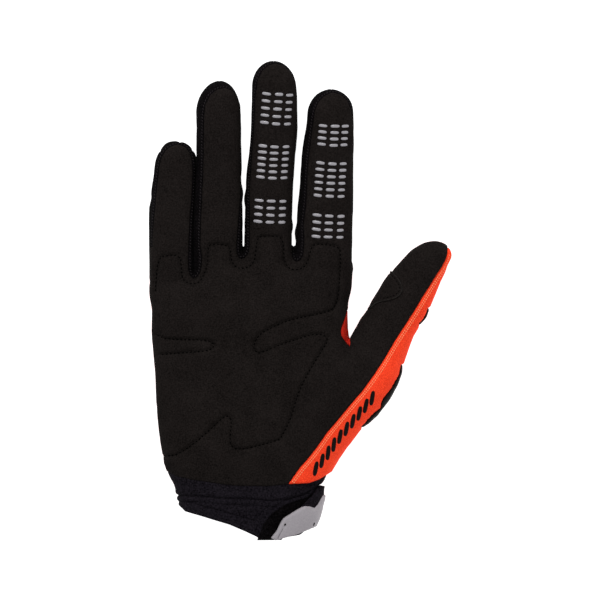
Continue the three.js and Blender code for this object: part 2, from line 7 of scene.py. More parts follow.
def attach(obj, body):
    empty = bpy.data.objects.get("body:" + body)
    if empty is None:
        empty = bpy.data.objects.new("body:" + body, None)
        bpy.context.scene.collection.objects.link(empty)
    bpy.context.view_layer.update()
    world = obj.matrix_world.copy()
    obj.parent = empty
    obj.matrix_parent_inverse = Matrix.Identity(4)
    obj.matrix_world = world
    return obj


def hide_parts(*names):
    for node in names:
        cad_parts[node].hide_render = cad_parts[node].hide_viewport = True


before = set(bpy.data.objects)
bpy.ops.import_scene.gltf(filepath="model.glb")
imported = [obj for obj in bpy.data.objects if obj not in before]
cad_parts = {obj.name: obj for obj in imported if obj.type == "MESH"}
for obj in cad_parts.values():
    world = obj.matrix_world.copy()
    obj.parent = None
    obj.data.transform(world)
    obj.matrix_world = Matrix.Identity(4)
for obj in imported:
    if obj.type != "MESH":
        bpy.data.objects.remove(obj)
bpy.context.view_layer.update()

# Every table and length below is in millimetres, in the glove's own frame.
MM = 0.001

# Fingers from the little one to the index: the tip, how long its dome is, its height, its root,
# and rows of (y, centre x, half width).
FINGERS = [
    {"tip": 79.75, "dome": 13, "top": 17.6, "root": 4, "axis": [
        (0, -64, 11), (12.5, -63.7, 11.4), (38.5, -63.5, 11.7), (54.5, -63.1, 11.6),
        (62.5, -62.6, 11.1), (70.5, -62.1, 10.6), (74.5, -61.75, 10.4), (79.8, -61.4, 10.3)]},
    {"tip": 110, "dome": 16, "top": 19.6, "root": 6, "axis": [
        (0, -41, 12.4), (25, -41.5, 13), (38.5, -41.4, 13.1), (46.5, -41.3, 12.9),
        (54.5, -41.2, 12.3), (62.5, -41.1, 11.8), (66.5, -40.85, 11.5), (86.5, -40.7, 11.25),
        (94.5, -41, 11.2),
        (102.5, -40.6, 11.1), (110, -40.3, 11.1)]},
    {"tip": 120, "dome": 13.5, "top": 20.2, "root": 8, "axis": [
        (0, -16.1, 12.1), (26.5, -16.1, 12.1), (38.5, -16, 12.1), (54.5, -15.5, 12.05),
        (62.5, -15, 12), (70.5, -14.25, 11.9), (78.5, -13.5, 11.95), (86.5, -13, 11.95),
        (102.5, -12.75, 11.6), (110.5, -13.1, 11.4), (120, -13.2, 11.3)]},
    {"tip": 105.9, "dome": 13, "top": 20.2, "root": 7, "axis": [
        (0, 11, 14), (22.5, 11.5, 14.4), (30.5, 11.9, 14.4), (46.5, 12.4, 14),
        (54.5, 12.9, 13.6), (70.5, 13.5, 13.1), (78.5, 14.2, 12.8), (86.5, 15.1, 12.2),
        (94.5, 15.25, 11.6), (106, 15.6, 11.5)]},
]

# Lines between two fingers: rows of (y, x).
DIVIDES = [
    [(0, -53.2), (38, -53.3), (62, -52.4), (70, -52.2), (75, -52.5), (80, -52.8), (125, -53.5)],
    [(0, -28.5), (38.5, -28.25), (54.5, -28.25), (70.5, -27.5), (86.5, -27.2), (125, -27)],
    [(0, -3.4), (30, -3.3), (46.5, -2.6), (54.5, -2), (70.5, -1), (86.5, 1), (125, 3)],
]

# Palm: rows of (y, left x, right x, top, foot).
PALM = [
    (-104, -63, 11.4, 34.9, 1.2), (-92, -63.4, 11.6, 34.9, 1.2), (-89.5, -64, 12.2, 35, 1.1),
    (-85.5, -66.5, 14.2, 35.3, 0.5), (-81.5, -68, 16.4, 35.3, 0.1), (-79.4, -68.3, 17.2, 35.3, 0),
    (-73.5, -68.9, 20, 34.6, 0), (-65.5, -70.1, 24.5, 33.4, 0), (-53.5, -71.1, 29, 32.1, 0),
    (-41.5, -71.9, 31.8, 31, 0), (-29.5, -73.1, 29, 28.6, 0), (-21.4, -73.8, 25.2, 27, 0),
    (-13.5, -74.2, 24.1, 26.2, 0), (-5.5, -74.1, 24, 25.4, 0), (2.5, -74.1, 24.3, 24.2, 0),
    (10.5, -74.4, 24.9, 22.6, 0), (18.7, -74.9, 25.4, 20, 0), (40, -75, 25.9, 19, 0),
]

# Where the palm's form ends before the fingers: rows of (x, y at the top, how much further it reaches
# at the foot).
PALM_END = [(-75, 8.0, 9), (-53.2, 10.5, 9), (-28.4, 20.5, 9), (-3.2, 19.0, 12.5), (26, 16.0, 9)]
PALM_END_DOME = 7.0

# Thumb: its root, its direction from +Y in degrees, and rows of (distance, left, right, top).
THUMB_ROOT = (-0.4, -77.8)
THUMB_ANGLE = 33.8
THUMB = [
    (-12, -13, 16.8, 30.5), (-2.5, -13, 17, 30.6), (6.6, -14, 16.8, 31.2), (16.6, -14, 17.2, 32.2),
    (26.9, -14, 18.2, 32.6), (38.5, -13, 20.9, 32.2), (48.5, -12, 21.5, 31.6), (57.6, -11.4, 20.7, 30.4),
    (65.7, -11.8, 18.6, 28.4), (73.7, -12.5, 16.5, 26.6), (81.5, -12.1, 14.7, 25.6),
    (88, -12.2, 14.2, 25), (96.2, -12.6, 13.8, 24.4), (104.5, -12.4, 12.1, 23.4),
    (112, -11.2, 10.6, 21.9), (117.5, -10.7, 10.4, 21.2), (120.4, -10.3, 10.4, 21),
    (122.4, -10.1, 11, 21), (128, -10, 14.2, 21),
]
THUMB_TIP = 128.6
THUMB_DOME = 16.5
THUMB_FOOT = -8.0

# The height of the side seam, between the front's pieces and the backs
SIDE_SEAM = 7.0
KNUCKLE_SEAM = 14.7
# Where the knit strips between the fingers begin, and the front seam's point where its whip stitches end
SIDE_START = 9.0
WHIP_END = (26.6, 26.5)

# Seams, stitch lines and outlines seen from the palm side
FRONT_SEAM = [
    (-73.7, 26.5), (-73.7, 32), (-72.1, 50), (-71.2, 60), (-70.3, 67.5), (-69.2, 71.5),
    (-67.4, 74.5), (-64.5, 77), (-60.7, 78), (-57.2, 76.5), (-55, 73.5), (-53.9, 69.5),
    (-53.5, 64), (-53.7, 60), (-54.2, 50), (-55.2, 39.5), (-55.6, 26.5), (-55.8, 19),
    (-55.6, 15), (-54.8, 12.2), (-53.2, 10.7), (-51.5, 11.4), (-50, 13.5), (-49.3, 16.5),
    (-49, 21.5), (-49.9, 26.5), (-49.7, 37), (-48.9, 55), (-48.3, 67.5), (-48.2, 90),
    (-47.5, 97.5), (-45, 102.5), (-41.3, 105.5), (-37.5, 106), (-34, 104.8), (-31.2, 101.2),
    (-29.7, 96), (-29.3, 86.5), (-29.5, 67.5), (-30.1, 50), (-31.2, 34.5), (-31.7, 27.5),
    (-31.6, 23.8), (-30.7, 21.5), (-29.3, 20.6), (-27.5, 21.2), (-26, 23), (-25.3, 26.5),
    (-25.2, 34.5), (-25.2, 55), (-24.3, 67.5), (-23.4, 81), (-22.7, 90), (-22.3, 101),
    (-21.2, 110.2), (-19, 114.5), (-15.8, 117.3), (-12.5, 118.4), (-8.5, 117.2), (-5, 114.2),
    (-2.7, 110), (-1.6, 102.5), (-1.5, 86.5), (-2.8, 70), (-3.8, 54.5), (-4.3, 38.5), (-4.3, 27.5),
    (-4.2, 23), (-3.5, 20.4), (-2, 19.1), (-0.1, 19.9), (1.3, 22), (1.8, 25), (2, 31.5),
    (1.6, 37), (3, 48.5), (3.5, 60), (4.3, 72), (6.1, 85.3), (7.2, 94.3), (9.1, 98.9),
    (12, 102), (15.9, 103.8), (20, 102.8), (23.4, 99.8), (25.6, 94.5), (26.7, 86.5), (26.9, 70),
    (26.8, 50), (26.6, 26.5), (26.6, 12.5), (25.6, 1), (23.9, -4.2), (22.6, -8), (21.4, -11.5),
    (20.6, -13.5), (20.2, -15.8), (20.4, -17.8), (21.7, -19.8), (23.6, -22), (25, -23.6),
    (25.3, -21.5), (25.1, -16.5), (24.8, -10), (24.9, -2), (36, 17.5), (47.5, 34), (62.5, 40),
    (72.5, 33), (74, 27.5), (73.8, 23.5), (72.9, 20.4), (71.1, 16.7), (68.7, 13.2), (61.5, 2.1),
    (57.7, -4.4), (53.8, -10.5), (47.4, -20.1), (41.7, -29.8), (37.1, -36.8), (31.3, -44.8),
    (24.4, -52.8), (18.7, -59.7), (12.9, -66.6), (8.2, -73.5), (3.2, -79.8), (0, -83.3),
    (-5.9, -91.5), (-8, -100), (-85, -100), (-85, 26.5),
]
PADDING_SEAM = [
    (-69.8, 21.3), (-68, 22), (-59.9, 22.5), (-59.3, 16.5), (-58.8, 10.8), (-57, 9),
    (-54, 7.8), (-50, 8.8), (-47.3, 14), (-46, 19), (-46, 25.6), (-45.3, 27.5),
    (-41.2, 28), (-35.6, 26.9), (-34.6, 24.1), (-34.3, 20), (-32.5, 16.5), (-29, 15.5),
    (-24.9, 16.7), (-22.8, 19.5), (-22.1, 24.1), (-21.3, 30.2), (-19.8, 31.8), (-12.2, 32),
    (-9.1, 30.7), (-8.1, 26.7), (-8.1, 21), (-7, 17.5), (-4.5, 15.2), (-0.5, 15), (3, 17.2),
    (4.4, 21.5), (5.8, 26.2), (7.5, 27.8), (12.2, 27.8), (19, 26.5), (20.2, 24.5), (20.2, 17.5),
    (19.5, 6.6), (19, 1), (16.8, -4.8), (9.8, -6.8), (1.8, -8.5), (-6, -10.2), (-13.7, -13.5),
    (-19.8, -16.8), (-22.3, -20.4), (-23.3, -24), (-21.3, -26.5), (-18.8, -26.2), (-12.2, -23.2),
    (-2.5, -19.8), (6, -17.2), (11.2, -17.2), (13.5, -19), (13.5, -21.2), (11.2, -24.7),
    (7.2, -31), (3.8, -36.8), (0.3, -43.5), (-2.5, -51.5), (-4.2, -58), (-7, -64),
    (-10, -69.5), (-13.7, -70.5), (-18.8, -72), (-27, -74), (-32.5, -74.2), (-34.8, -71.5),
    (-34.6, -66.3), (-34.1, -60.2), (-35.5, -57.8), (-37.7, -58), (-41.2, -61.2), (-49.5, -68.9),
    (-55.5, -73.5), (-62.2, -77.5), (-67.2, -77.8),
]
PADDING_START = [
    (-69.8, 21.3), (-71.4, 16.5), (-72, 10), (-72.2, 4),
]
FLEX_SLOT = [
    (-71.8, -17.3), (-67.2, -19.4), (-59.6, -19.7), (-49.5, -19.9), (-44.3, -20.7), (-42.5, -22.7),
    (-44.3, -24.8), (-49.5, -25.8), (-59.6, -26.5), (-69.8, -27.3),
]
THUMB_PATCH = [
    (45.4, 14.7), (48.9, 11.2), (51.2, 7.2), (51.2, 4.3), (48.9, 1.5), (45.4, 0), (40.2, -0.8),
    (37.4, -2), (35.7, -3.7), (30, -8), (29, 0), (36, 19),
]
WRIST_SEAM = [
    (-70, -85), (-65.5, -85.8), (-61.9, -87.9), (-54, -89.5), (-39, -91.7), (-30.3, -92.6),
    (-17.5, -92.7), (-6, -91.8), (4.8, -91.4), (10, -89.6), (13, -87.9), (18, -85),
]
CUFF_HEM = [
    (-70, -96), (-62, -100), (-59.6, -102.3), (-56.8, -105.5), (-48.8, -107.7), (-43.3, -109.4),
    (-35.2, -111.8), (-27, -115.3), (-21.7, -117.8), (-19.5, -119.4), (-14.1, -119.4), (0, -117.5),
    (6.5, -113.5), (11, -105.5), (17, -100),
]
CUFF_RIDGE = [
    (-65, -97), (-57.5, -97.3), (-50, -97.7), (-37.5, -98.8), (-25, -99.2), (-15, -100),
    (-8, -99.6), (0, -97.6), (8, -94.2), (15, -90),
]
CUFF_V_STITCH = [
    (-15.6, -102.3), (-22.7, -110), (-26.2, -108.9), (-37.5, -105.6), (-50, -102.3), (-56, -100.4),
]
NEOPRENE_EDGE = [
    (-20.6, -119.5), (-19.5, -116), (-18, -111.8), (-13.8, -106.7), (-7.4, -102.2), (-2.5, -100.5),
    (3.5, -98.7), (7.5, -95.8), (10.6, -92), (12, -89),
]
TAB = [
    (-14.1, -118.5), (-11.2, -115), (-9.6, -111.6), (-8, -108.9), (-2.6, -105.6), (2.8, -102.7),
    (5.5, -102.9), (7.9, -103.8), (9.6, -102), (10.8, -100), (12.1, -97.7), (16, -95),
    (20, -98), (20, -112), (9.3, -111.2), (8.2, -113.5), (-0.6, -116.7), (-11.9, -119.7),
]
THUMB_GUARD = [
    (67.5, 2), (64.9, -2.2), (64.1, -4.2), (63.2, -6.3), (62.2, -8.4), (61, -10.3), (59.7, -11.9),
    (57, -15), (66, -24), (78, -4),
]
HAND_GUARD = [
    (54, -26), (50.7, -32), (50.2, -34), (49.4, -37.5), (46.6, -42.5), (44.1, -46.2), (41, -50),
    (40.2, -53.8), (36, -57.3), (32.8, -61), (30.6, -63.2), (27, -67), (38, -79),
    (70, -38),
]
TOPSTITCH = [
    (-5, -90), (0, -83.3), (3.2, -79.8), (8.2, -73.5), (12.9, -66.6), (18.7, -59.7),
    (24.4, -52.8), (31.3, -44.8), (37.1, -36.8), (41.7, -29.8), (47.4, -20.1), (53.8, -10.5),
    (57.7, -4.4), (61.5, 2.1), (68.3, 13.2), (71, 16.7), (72.9, 20.8), (73.7, 23.5),
]


# Where the index's back ends, beside the thumb's crook
INDEX_REACH = 36.0

# The padded palm and its quilting lines
PADDING = PADDING_START[::-1] + PADDING_SEAM + [(-85, -78), (-85, 4)]
FLEX_FIELD = FLEX_SLOT + [(-85, -27), (-85, -17)]
QUILTING = [PADDING_START[::-1] + PADDING_SEAM[1:], FLEX_SLOT]
# The palm's broad swells and hollows: (x, y, half width, half height, rise)
SWELLS = [(-10, -44, 14, 22, -1.8), (-30, -8, 40, 14, 1.8), (-50, -55, 16, 22, 0.8), (18, -38, 12, 22, 0.9)]

# Guards: their outlines from above, and where they begin and end along the thumb
GUARDS = {"thumb_guard": (THUMB_GUARD, 87.8, 97.2), "hand_guard": (HAND_GUARD, 29.2, 66.4)}
# A guard's lowest edge, and the height under which it always covers the thumb's side
GUARD_FOOT, GUARD_LEVEL = 3.6, 10.0
# How far the cloth is pressed in under a guard
GUARD_BED = 1.2

# Cuff: rows of (y, left x, right x), its foot and its top
CUFF = [
    (-121, -58.6, -1), (-114.4, -58.8, 2.6), (-107, -59, 5.7), (-103.6, -59.1, 6.6), (-101, -59.6, 7.1),
    (-98, -59.9, 8), (-95.8, -60.5, 8), (-94, -61, 8.1), (-91.5, -61.9, 8.6), (-90.3, -62.5, 11),
    (-89, -63.2, 11.7), (-85.5, -65, 12.2), (-80, -65, 12),
]
CUFF_FOOT, CUFF_TOP = 3.1, 33.1
CUFF_MIDDLE = (CUFF_FOOT + CUFF_TOP) / 2
CUFF_ENDS = (-121.0, -83.5)
CUFF_GIRTH = 230

# Pieces over the cuff, as they show from above. The strap's outline on the palm's side and on the back
CLOSURE = [
    (-21.2, -119.6), (-20.3, -116), (-18.8, -111.6), (-14.4, -106.3), (-8, -101.5), (-3, -99.9),
    (3, -98.1), (7, -95.2), (10, -91.5), (12, -88), (16, -89.5), (16, -97),
    (10, -100), (4, -106), (-4, -111), (-9, -119.6),
]
STRAP_FRONT = [
    (0, -104.6), (2.5, -102.3), (5.6, -99.5), (9.1, -95.7), (11, -93.2), (12, -92.4),
    (20, -92.2), (24, -100), (20, -110.3), (8, -110.3), (2, -108),
]
STRAP_BACK = [
    (-43.9, -109), (-42.4, -96.6), (-19.2, -94.9), (0, -94.4), (12, -92.4), (30, -92.2),
    (30, -110.3), (-4.7, -110.3), (-26.5, -110.1),
]
STRAP_TOP = -91.9
TAB_LINE = [(-7.4, -111.8), (-8.7, -114.4), (-9.9, -116.6), (-10.9, -118.6)]
# The tab's small mark and the strap's end: (x, y, half length, half width, tilt)
TAB_SPOTS = [(-7.4, -111.7, 0.6, 0.4, 0.8), (7.0, -111.8, 0.9, 0.3, 1.25)]
TAB_FOOT = 16.6
TAB_RISE = 4.9
CLOSURE_RISE = 0.9
PATCH_STITCH = 1.5

# Grip pads on the middle and index fingers: groups of (rows, first row's places, last row's places),
# then each column's half length and tilt
GRIP_GROUPS = [
    (5, [(-16.7, 103), (-10.45, 102.7), (-5.2, 102.3)], [(-17.8, 88.7), (-11.95, 87.95), (-6.3, 87.9)]),
    (6, [(-18.55, 77), (-12.7, 76.45), (-6.95, 76.55)], [(-19.75, 61.45), (-13.8, 60.85), (-8.05, 61)]),
    (4, [(-20.4, 49.75), (-14.35, 49.35), (-8.55, 49.25)], [(-21.05, 39.25), (-15.05, 38.8), (-9.1, 38.8)]),
    (4, [(11.5, 87.05), (17.55, 86.8), (22.6, 86.85)], [(10.75, 77.85), (16.8, 77.2), (21.9, 77.5)]),
    (6, [(10.2, 68.5), (16.2, 67.95), (21.55, 68.05)], [(8.85, 52.25), (14.85, 51.8), (20.45, 51.7)]),
    (4, [(8.55, 42.4), (14.6, 41.9), (20.45, 41.75)], [(8, 31.75), (14, 31.45), (19.9, 31.3)]),
]
GRIP_SIZES = [(2.25, -0.12), (2.2, -0.03), (1.75, 0.06)]
GRIP_HALF_WIDTH = 0.78

CLOTH_THICKNESS = 1.3
CUFF_THICKNESS = 2.4

# The skin's grid, its finer edges along the seams, and the same for the cuff
SKIN_STEP, SKIN_EDGES = 1.35, (0.9, 0.7)
CUFF_STEP, CUFF_EDGES = 0.9, (0.75, 0.6)

# How squarely the oval sections are rounded: 2 is an ellipse
SQUARENESS = 2.5
# Where the fingers' lengths are measured from, and how softly a root fades into the palm
FINGER_FOOT = 18.9
ROOT_FADE = 12.0


def column(table, x, key, value):
    """A table's column at x, in between its rows along the key column."""
    rows = sorted(table, key=lambda row: row[key])
    return np.interp(x, [row[key] for row in rows], [row[value] for row in rows])


def section(u, v):
    """How far a point lies out in a rounded oval section, 1 on its edge."""
    v = np.where(v < 0, v / 1.12, v)
    return (np.abs(u) ** SQUARENESS + np.abs(v) ** SQUARENESS) ** (1 / SQUARENESS)


def finger_form(i, x, y, z):
    """Negative inside a finger: an oval along its axis, with a rounded tip."""
    finger = FINGERS[i]
    start = finger["tip"] - finger["dome"]
    along = np.clip((y - FINGER_FOOT) / (start - FINGER_FOOT), 0, 1)
    centre = column(finger["axis"], y, 0, 1)
    half = column(finger["axis"], np.minimum(y, start), 0, 2)
    top = finger["top"] * (1.04 - 0.1 * along)
    r = section((x - centre) / half, (z - top / 2) / (top / 2))
    end = np.maximum(0, (y - start) / finger["dome"])
    root = np.maximum(0, (finger["root"] - y) / ROOT_FADE)
    return np.sqrt(r**2 + end**2 + root**2) - 1


def palm_form(x, y, z):
    """Negative inside the palm, which ends in a slope before the fingers."""
    left, right, top, foot = (column(PALM, y, 0, k) for k in (1, 2, 3, 4))
    middle, half = (left + right) / 2, (right - left) / 2
    level, rise = (top + foot) / 2, (top - foot) / 2
    r = section((x - middle) / half, (z - level) / rise)
    end = column(PALM_END, x, 0, 1) + column(PALM_END, x, 0, 2) * np.clip(1 - z / top, 0, 1)
    past = np.maximum(0, (y - end + PALM_END_DOME) / PALM_END_DOME)
    return np.sqrt(r**2 + past**2) - 1


def thumb_place(x, y):
    """Distance along the thumb, and to its right."""
    a = np.radians(THUMB_ANGLE)
    dx, dy = x - THUMB_ROOT[0], y - THUMB_ROOT[1]
    return dx * np.sin(a) + dy * np.cos(a), dx * np.cos(a) - dy * np.sin(a)


def thumb_form(x, y, z):
    """Negative inside the thumb."""
    t, n = thumb_place(x, y)
    start = THUMB_TIP - THUMB_DOME
    left, right, top = (column(THUMB, np.minimum(t, THUMB_TIP), 0, k) for k in (1, 2, 3))
    r = section((n - (left + right) / 2) / ((right - left) / 2), (z - top / 2) / (top / 2))
    end = np.maximum(0, (t - start) / THUMB_DOME)
    root = np.maximum(0, (THUMB_FOOT - t) / ROOT_FADE)
    return np.sqrt(r**2 + end**2 + root**2) - 1


# How softly forms melt together: the thumb's root and its free part with the palm, with where that
# changes along the thumb, then the fingers with the palm, a finger's side walls, and the flat underside
THUMB_FREE, THUMB_BLEND = (45, 59), (7, 1.5)
FINGER_BLEND, WALL_BLEND, FLOOR_BLEND = 3.5, 0.8, 1.6

# Half the gap that touching fingers keep, against the inset
WALL_GAP = -0.4

# How far the cloth's forms lie inside the tables' outlines, which their folds and seams fill
INSET = 0.3


def gradient(field, x, y, z, e=0.05):
    """A field's value, and its slope along each axis."""
    f = field(x, y, z)
    return f, [(field(x + e, y, z) - f) / e, (field(x, y + e, z) - f) / e, (field(x, y, z + e) - f) / e]


def metric(form, x, y, z):
    """A form's value as a distance."""
    f, (gx, gy, gz) = gradient(form, x, y, z)
    return f / np.maximum(np.sqrt(gx**2 + gy**2 + gz**2), 0.012)


def smooth_min(a, b, k):
    """The smaller of two fields, rounded over a width k where they meet."""
    h = np.clip(0.5 + 0.5 * (b - a) / k, 0, 1)
    return b + (a - b) * h - k * h * (1 - h)


def hand(x, y, z, strip):
    """Distance to the hand's skin. strip says which finger's side of the dividing lines a point is on."""
    t, _ = thumb_place(x, y)
    blend = np.interp(t, THUMB_FREE, THUMB_BLEND)
    base = smooth_min(metric(palm_form, x, y, z), metric(thumb_form, x, y, z), blend)
    fingers = np.full(np.shape(x), 1e3)
    for i in range(4):
        mine = strip == i
        if mine.any():
            q = [np.asarray(c)[mine] for c in (x, y, z)]
            own = metric(lambda a, b, c: finger_form(i, a, b, c), *q)
            if i > 0:
                own = -smooth_min(-own, q[0] - column(DIVIDES[i - 1], q[1], 0, 1) - WALL_GAP, WALL_BLEND)
            if i < 3:
                own = -smooth_min(-own, column(DIVIDES[i], q[1], 0, 1) - WALL_GAP - q[0], WALL_BLEND)
            fingers[mine] = own
    whole = smooth_min(base, fingers, FINGER_BLEND)
    return -smooth_min(-whole - INSET, z, FLOOR_BLEND)


# How far each finger is moved aside while its skin is made
SPREAD = np.array([-9.0, -3.0, 3.0, 9.0])


def close_up(wide, y):
    """From a space where the fingers are spread apart to the real one: x, and each point's finger."""
    ramp = np.clip((y - 2) / 14, 0, 1)
    lines = [column(line, y, 0, 1) for line in DIVIDES]
    x = wide - SPREAD[0] * ramp
    strip = np.zeros(np.shape(wide), int)
    for i, line in enumerate(lines):
        x = np.where(wide > line + SPREAD[i] * ramp, line, x)
        beyond = wide > line + SPREAD[i + 1] * ramp
        x = np.where(beyond, wide - SPREAD[i + 1] * ramp, x)
        strip = np.where(wide > line + (SPREAD[i] + SPREAD[i + 1]) / 2 * ramp, i + 1, strip)
    return x, strip


def surface_nets(values, low, step):
    """Points and quads of the surface where a grid of values crosses 0."""
    inside = values < 0
    shape = tuple(n - 1 for n in values.shape)
    total = np.zeros(shape + (3,))
    count = np.zeros(shape)
    lower, upper = slice(0, -1), slice(1, None)
    for axis in range(3):
        others = [k for k in range(3) if k != axis]
        for corner in ((0, 0), (0, 1), (1, 0), (1, 1)):
            near, far = [lower] * 3, [lower] * 3
            far[axis] = upper
            for k, d in zip(others, corner):
                near[k] = far[k] = upper if d else lower
            a, b = values[tuple(near)], values[tuple(far)]
            cross = (a < 0) != (b < 0)
            total[..., axis] += np.where(cross, a / np.where(cross, a - b, 1), 0)
            for k, d in zip(others, corner):
                total[..., k] += cross * d
            count += cross
    used = count > 0
    index = np.full(shape, -1)
    index[used] = np.arange(used.sum())
    points = (np.argwhere(used) + total[used] / count[used][:, None]) * step + low
    quads = []
    for axis in range(3):
        others = [k for k in range(3) if k != axis]
        near, far = [slice(1, -1)] * 3, [slice(1, -1)] * 3
        near[axis], far[axis] = lower, upper
        a, b = inside[tuple(near)], inside[tuple(far)]
        for mask, turned in ((a & ~b, False), (~a & b, True)):
            where = np.argwhere(mask)
            where[:, others] += 1
            cells = []
            for d in ((0, 0), (1, 0), (1, 1), (0, 1)):
                c = where.copy()
                c[:, others[0]] -= 1 - d[0]
                c[:, others[1]] -= 1 - d[1]
                cells.append(index[tuple(c.T)])
            quad = np.stack(cells, 1)
            flip = turned != (axis == 1)
            quads.append(quad[:, ::-1] if flip else quad)
    quads = np.concatenate(quads)
    return points, quads[(quads >= 0).all(axis=1)]


def edges_of(tris):
    """Each edge once, and which of them each triangle's sides are."""
    sides = np.sort(np.stack([tris, np.roll(tris, -1, 1)], 2), 2).reshape(-1, 2)
    edges, inverse = np.unique(sides, axis=0, return_inverse=True)
    return edges, inverse.reshape(-1, 3)


def new_points(chosen, count):
    """A number for the new point on each chosen edge, counted on from count, and -1 for the rest."""
    new = np.full(len(chosen), -1)
    new[chosen] = count + np.arange(chosen.sum())
    return new


def split_tris(tris, m):
    """Triangles split where m, the new point on each side, isn't -1."""
    n = (m >= 0).sum(1)
    out = [tris[n == 0]]
    full = n == 3
    a, b, c = tris[full].T
    p, q, r = m[full].T
    out += [np.stack(s, 1) for s in ((a, p, r), (p, b, q), (r, q, c), (p, q, r))]
    for k in range(3):
        turn = [(k + j) % 3 for j in range(3)]
        one = (n == 1) & (m[:, k] >= 0)
        a, b, c = tris[one][:, turn].T
        p = m[one][:, k]
        out += [np.stack(s, 1) for s in ((a, p, c), (p, b, c))]
        two = (n == 2) & (m[:, (k + 2) % 3] < 0)
        a, b, c = tris[two][:, turn].T
        p, q = m[two][:, k], m[two][:, (k + 1) % 3]
        out += [np.stack(s, 1) for s in ((p, b, q), (a, p, q), (a, q, c))]
    return np.concatenate(out)


def bowed(w, power):
    """A signed power, which squares off a circle's cosine and sine."""
    return np.sign(w) * np.abs(w) ** power


class Skin:
    """A triangle mesh: positions p, normals n and, once it is cut, each point's distance from the cut."""

    def __init__(self, tris, p, n=None, keep=None):
        self.tris, self.p, self.n, self.keep = tris, p, n, keep

    def split_near(self, near, longest):
        """The same surface with shorter edges where near is true."""
        edges, sides = edges_of(self.tris)
        a, b = edges.T
        chosen = (np.linalg.norm(self.p[a] - self.p[b], axis=1) > longest) & near[edges].any(axis=1)
        tris = split_tris(self.tris, new_points(chosen, len(self.p))[sides])
        a, b = edges[chosen].T
        return Skin(tris, *[np.concatenate([v, (v[a] + v[b]) / 2]) for v in (self.p, self.n)])

    def clip(self, keep):
        """The part where keep is positive, cut exactly along its zero line."""
        keep = np.where(np.abs(keep) < 1e-4, 1e-4, keep)
        side = keep[self.tris] > 0
        n = side.sum(1)
        edges, sides = edges_of(self.tris)
        crossed = (keep[edges[:, 0]] > 0) != (keep[edges[:, 1]] > 0)
        a, b = edges[crossed].T
        share = (keep[a] / (keep[a] - keep[b]))[:, None]
        m = new_points(crossed, len(keep))[sides]
        out = [self.tris[n == 3]]
        for k in range(3):
            last = (k + 2) % 3
            one = (n == 1) & side[:, k]
            out.append(np.stack((self.tris[one][:, k], m[one][:, k], m[one][:, last]), 1))
            two = (n == 2) & ~side[:, last]
            near, far = self.tris[two][:, k], self.tris[two][:, (k + 1) % 3]
            q, r = m[two][:, (k + 1) % 3], m[two][:, last]
            out += [np.stack((near, far, q), 1), np.stack((near, q, r), 1)]
        tris = np.concatenate(out)
        used, tris = np.unique(tris, return_inverse=True)
        tris = tris.reshape(-1, 3)
        p, n = [np.concatenate([v, v[a] * (1 - share) + v[b] * share])[used] for v in (self.p, self.n)]
        return Skin(tris, p, n, np.concatenate([keep, np.zeros(len(a))])[used])

    def moved(self, distance):
        """The surface moved out along its normals."""
        return Skin(self.tris, self.p + self.n * np.asarray(distance)[..., None], self.n, self.keep)

    def rounded(self, radius, depth=1.0):
        """Its border rolled inwards, like a turned and sewn edge."""
        e = np.clip(radius - self.keep, 0, radius)
        return self.moved(-depth * (radius - np.sqrt(np.maximum(radius**2 - e**2, 0))))

    def thick(self, inward):
        """A closed sheet: this surface and one behind it, with a rim between them."""
        count = len(self.p)
        edges = np.concatenate([self.tris[:, [0, 1]], self.tris[:, [1, 2]], self.tris[:, [2, 0]]])
        _, first, times = np.unique(np.sort(edges, 1), axis=0, return_index=True, return_counts=True)
        a, b = edges[first[times == 1]].T
        rim = np.concatenate([np.stack((b, a, a + count), 1), np.stack((b, a + count, b + count), 1)])
        tris = np.concatenate([self.tris, self.tris[:, ::-1] + count, rim])
        return Skin(tris, np.concatenate([self.p, self.p - self.n * inward]))


def segment_distance(x, y, line, closed=False):
    """Distance in the plan to a line of points."""
    pts = np.array(line, float)
    ends = np.roll(pts, -1, 0) if closed else pts[1:]
    starts = pts if closed else pts[:-1]
    best = np.full(np.shape(x), 1e9)
    for (ax, ay), (bx, by) in zip(starts, ends):
        dx, dy = bx - ax, by - ay
        t = np.clip(((x - ax) * dx + (y - ay) * dy) / max(dx * dx + dy * dy, 1e-9), 0, 1)
        best = np.minimum(best, (x - ax - t * dx) ** 2 + (y - ay - t * dy) ** 2)
    return np.sqrt(best)


def inside_distance(x, y, outline):
    """Distance in the plan to a closed outline, negative outside it."""
    within = np.zeros(np.shape(x), bool)
    for (ax, ay), (bx, by) in zip(outline, outline[1:] + outline[:1]):
        if ay != by:
            within ^= ((ay > y) != (by > y)) & (x < ax + (y - ay) * (bx - ax) / (by - ay))
    d = segment_distance(x, y, outline, closed=True)
    return np.where(within, d, -d)


def smooth_line(line, closed=False, rounds=2):
    """Corner cutting, which rounds a line of points and keeps its ends."""
    pts = [np.array(p, float) for p in line]
    for _ in range(rounds):
        out = []
        pairs = list(zip(pts, pts[1:] + pts[:1])) if closed else list(zip(pts, pts[1:]))
        for a, b in pairs:
            out += [a * 0.75 + b * 0.25, a * 0.25 + b * 0.75]
        if not closed:
            out = [pts[0]] + out[1:-1] + [pts[-1]]
        pts = out
    return [tuple(p) for p in pts]


def project(p, field, rounds=3):
    """Points moved onto a field's surface, and its normals there."""
    for k in range(rounds + 1):
        f, slopes = gradient(field, *p.T, 0.04)
        g = np.stack(slopes, 1)
        size = np.maximum(np.linalg.norm(g, axis=1), 0.2)
        if k == rounds:
            return p, g / size[:, None]
        p = p - np.clip(f / size**2, -0.8, 0.8)[:, None] * g


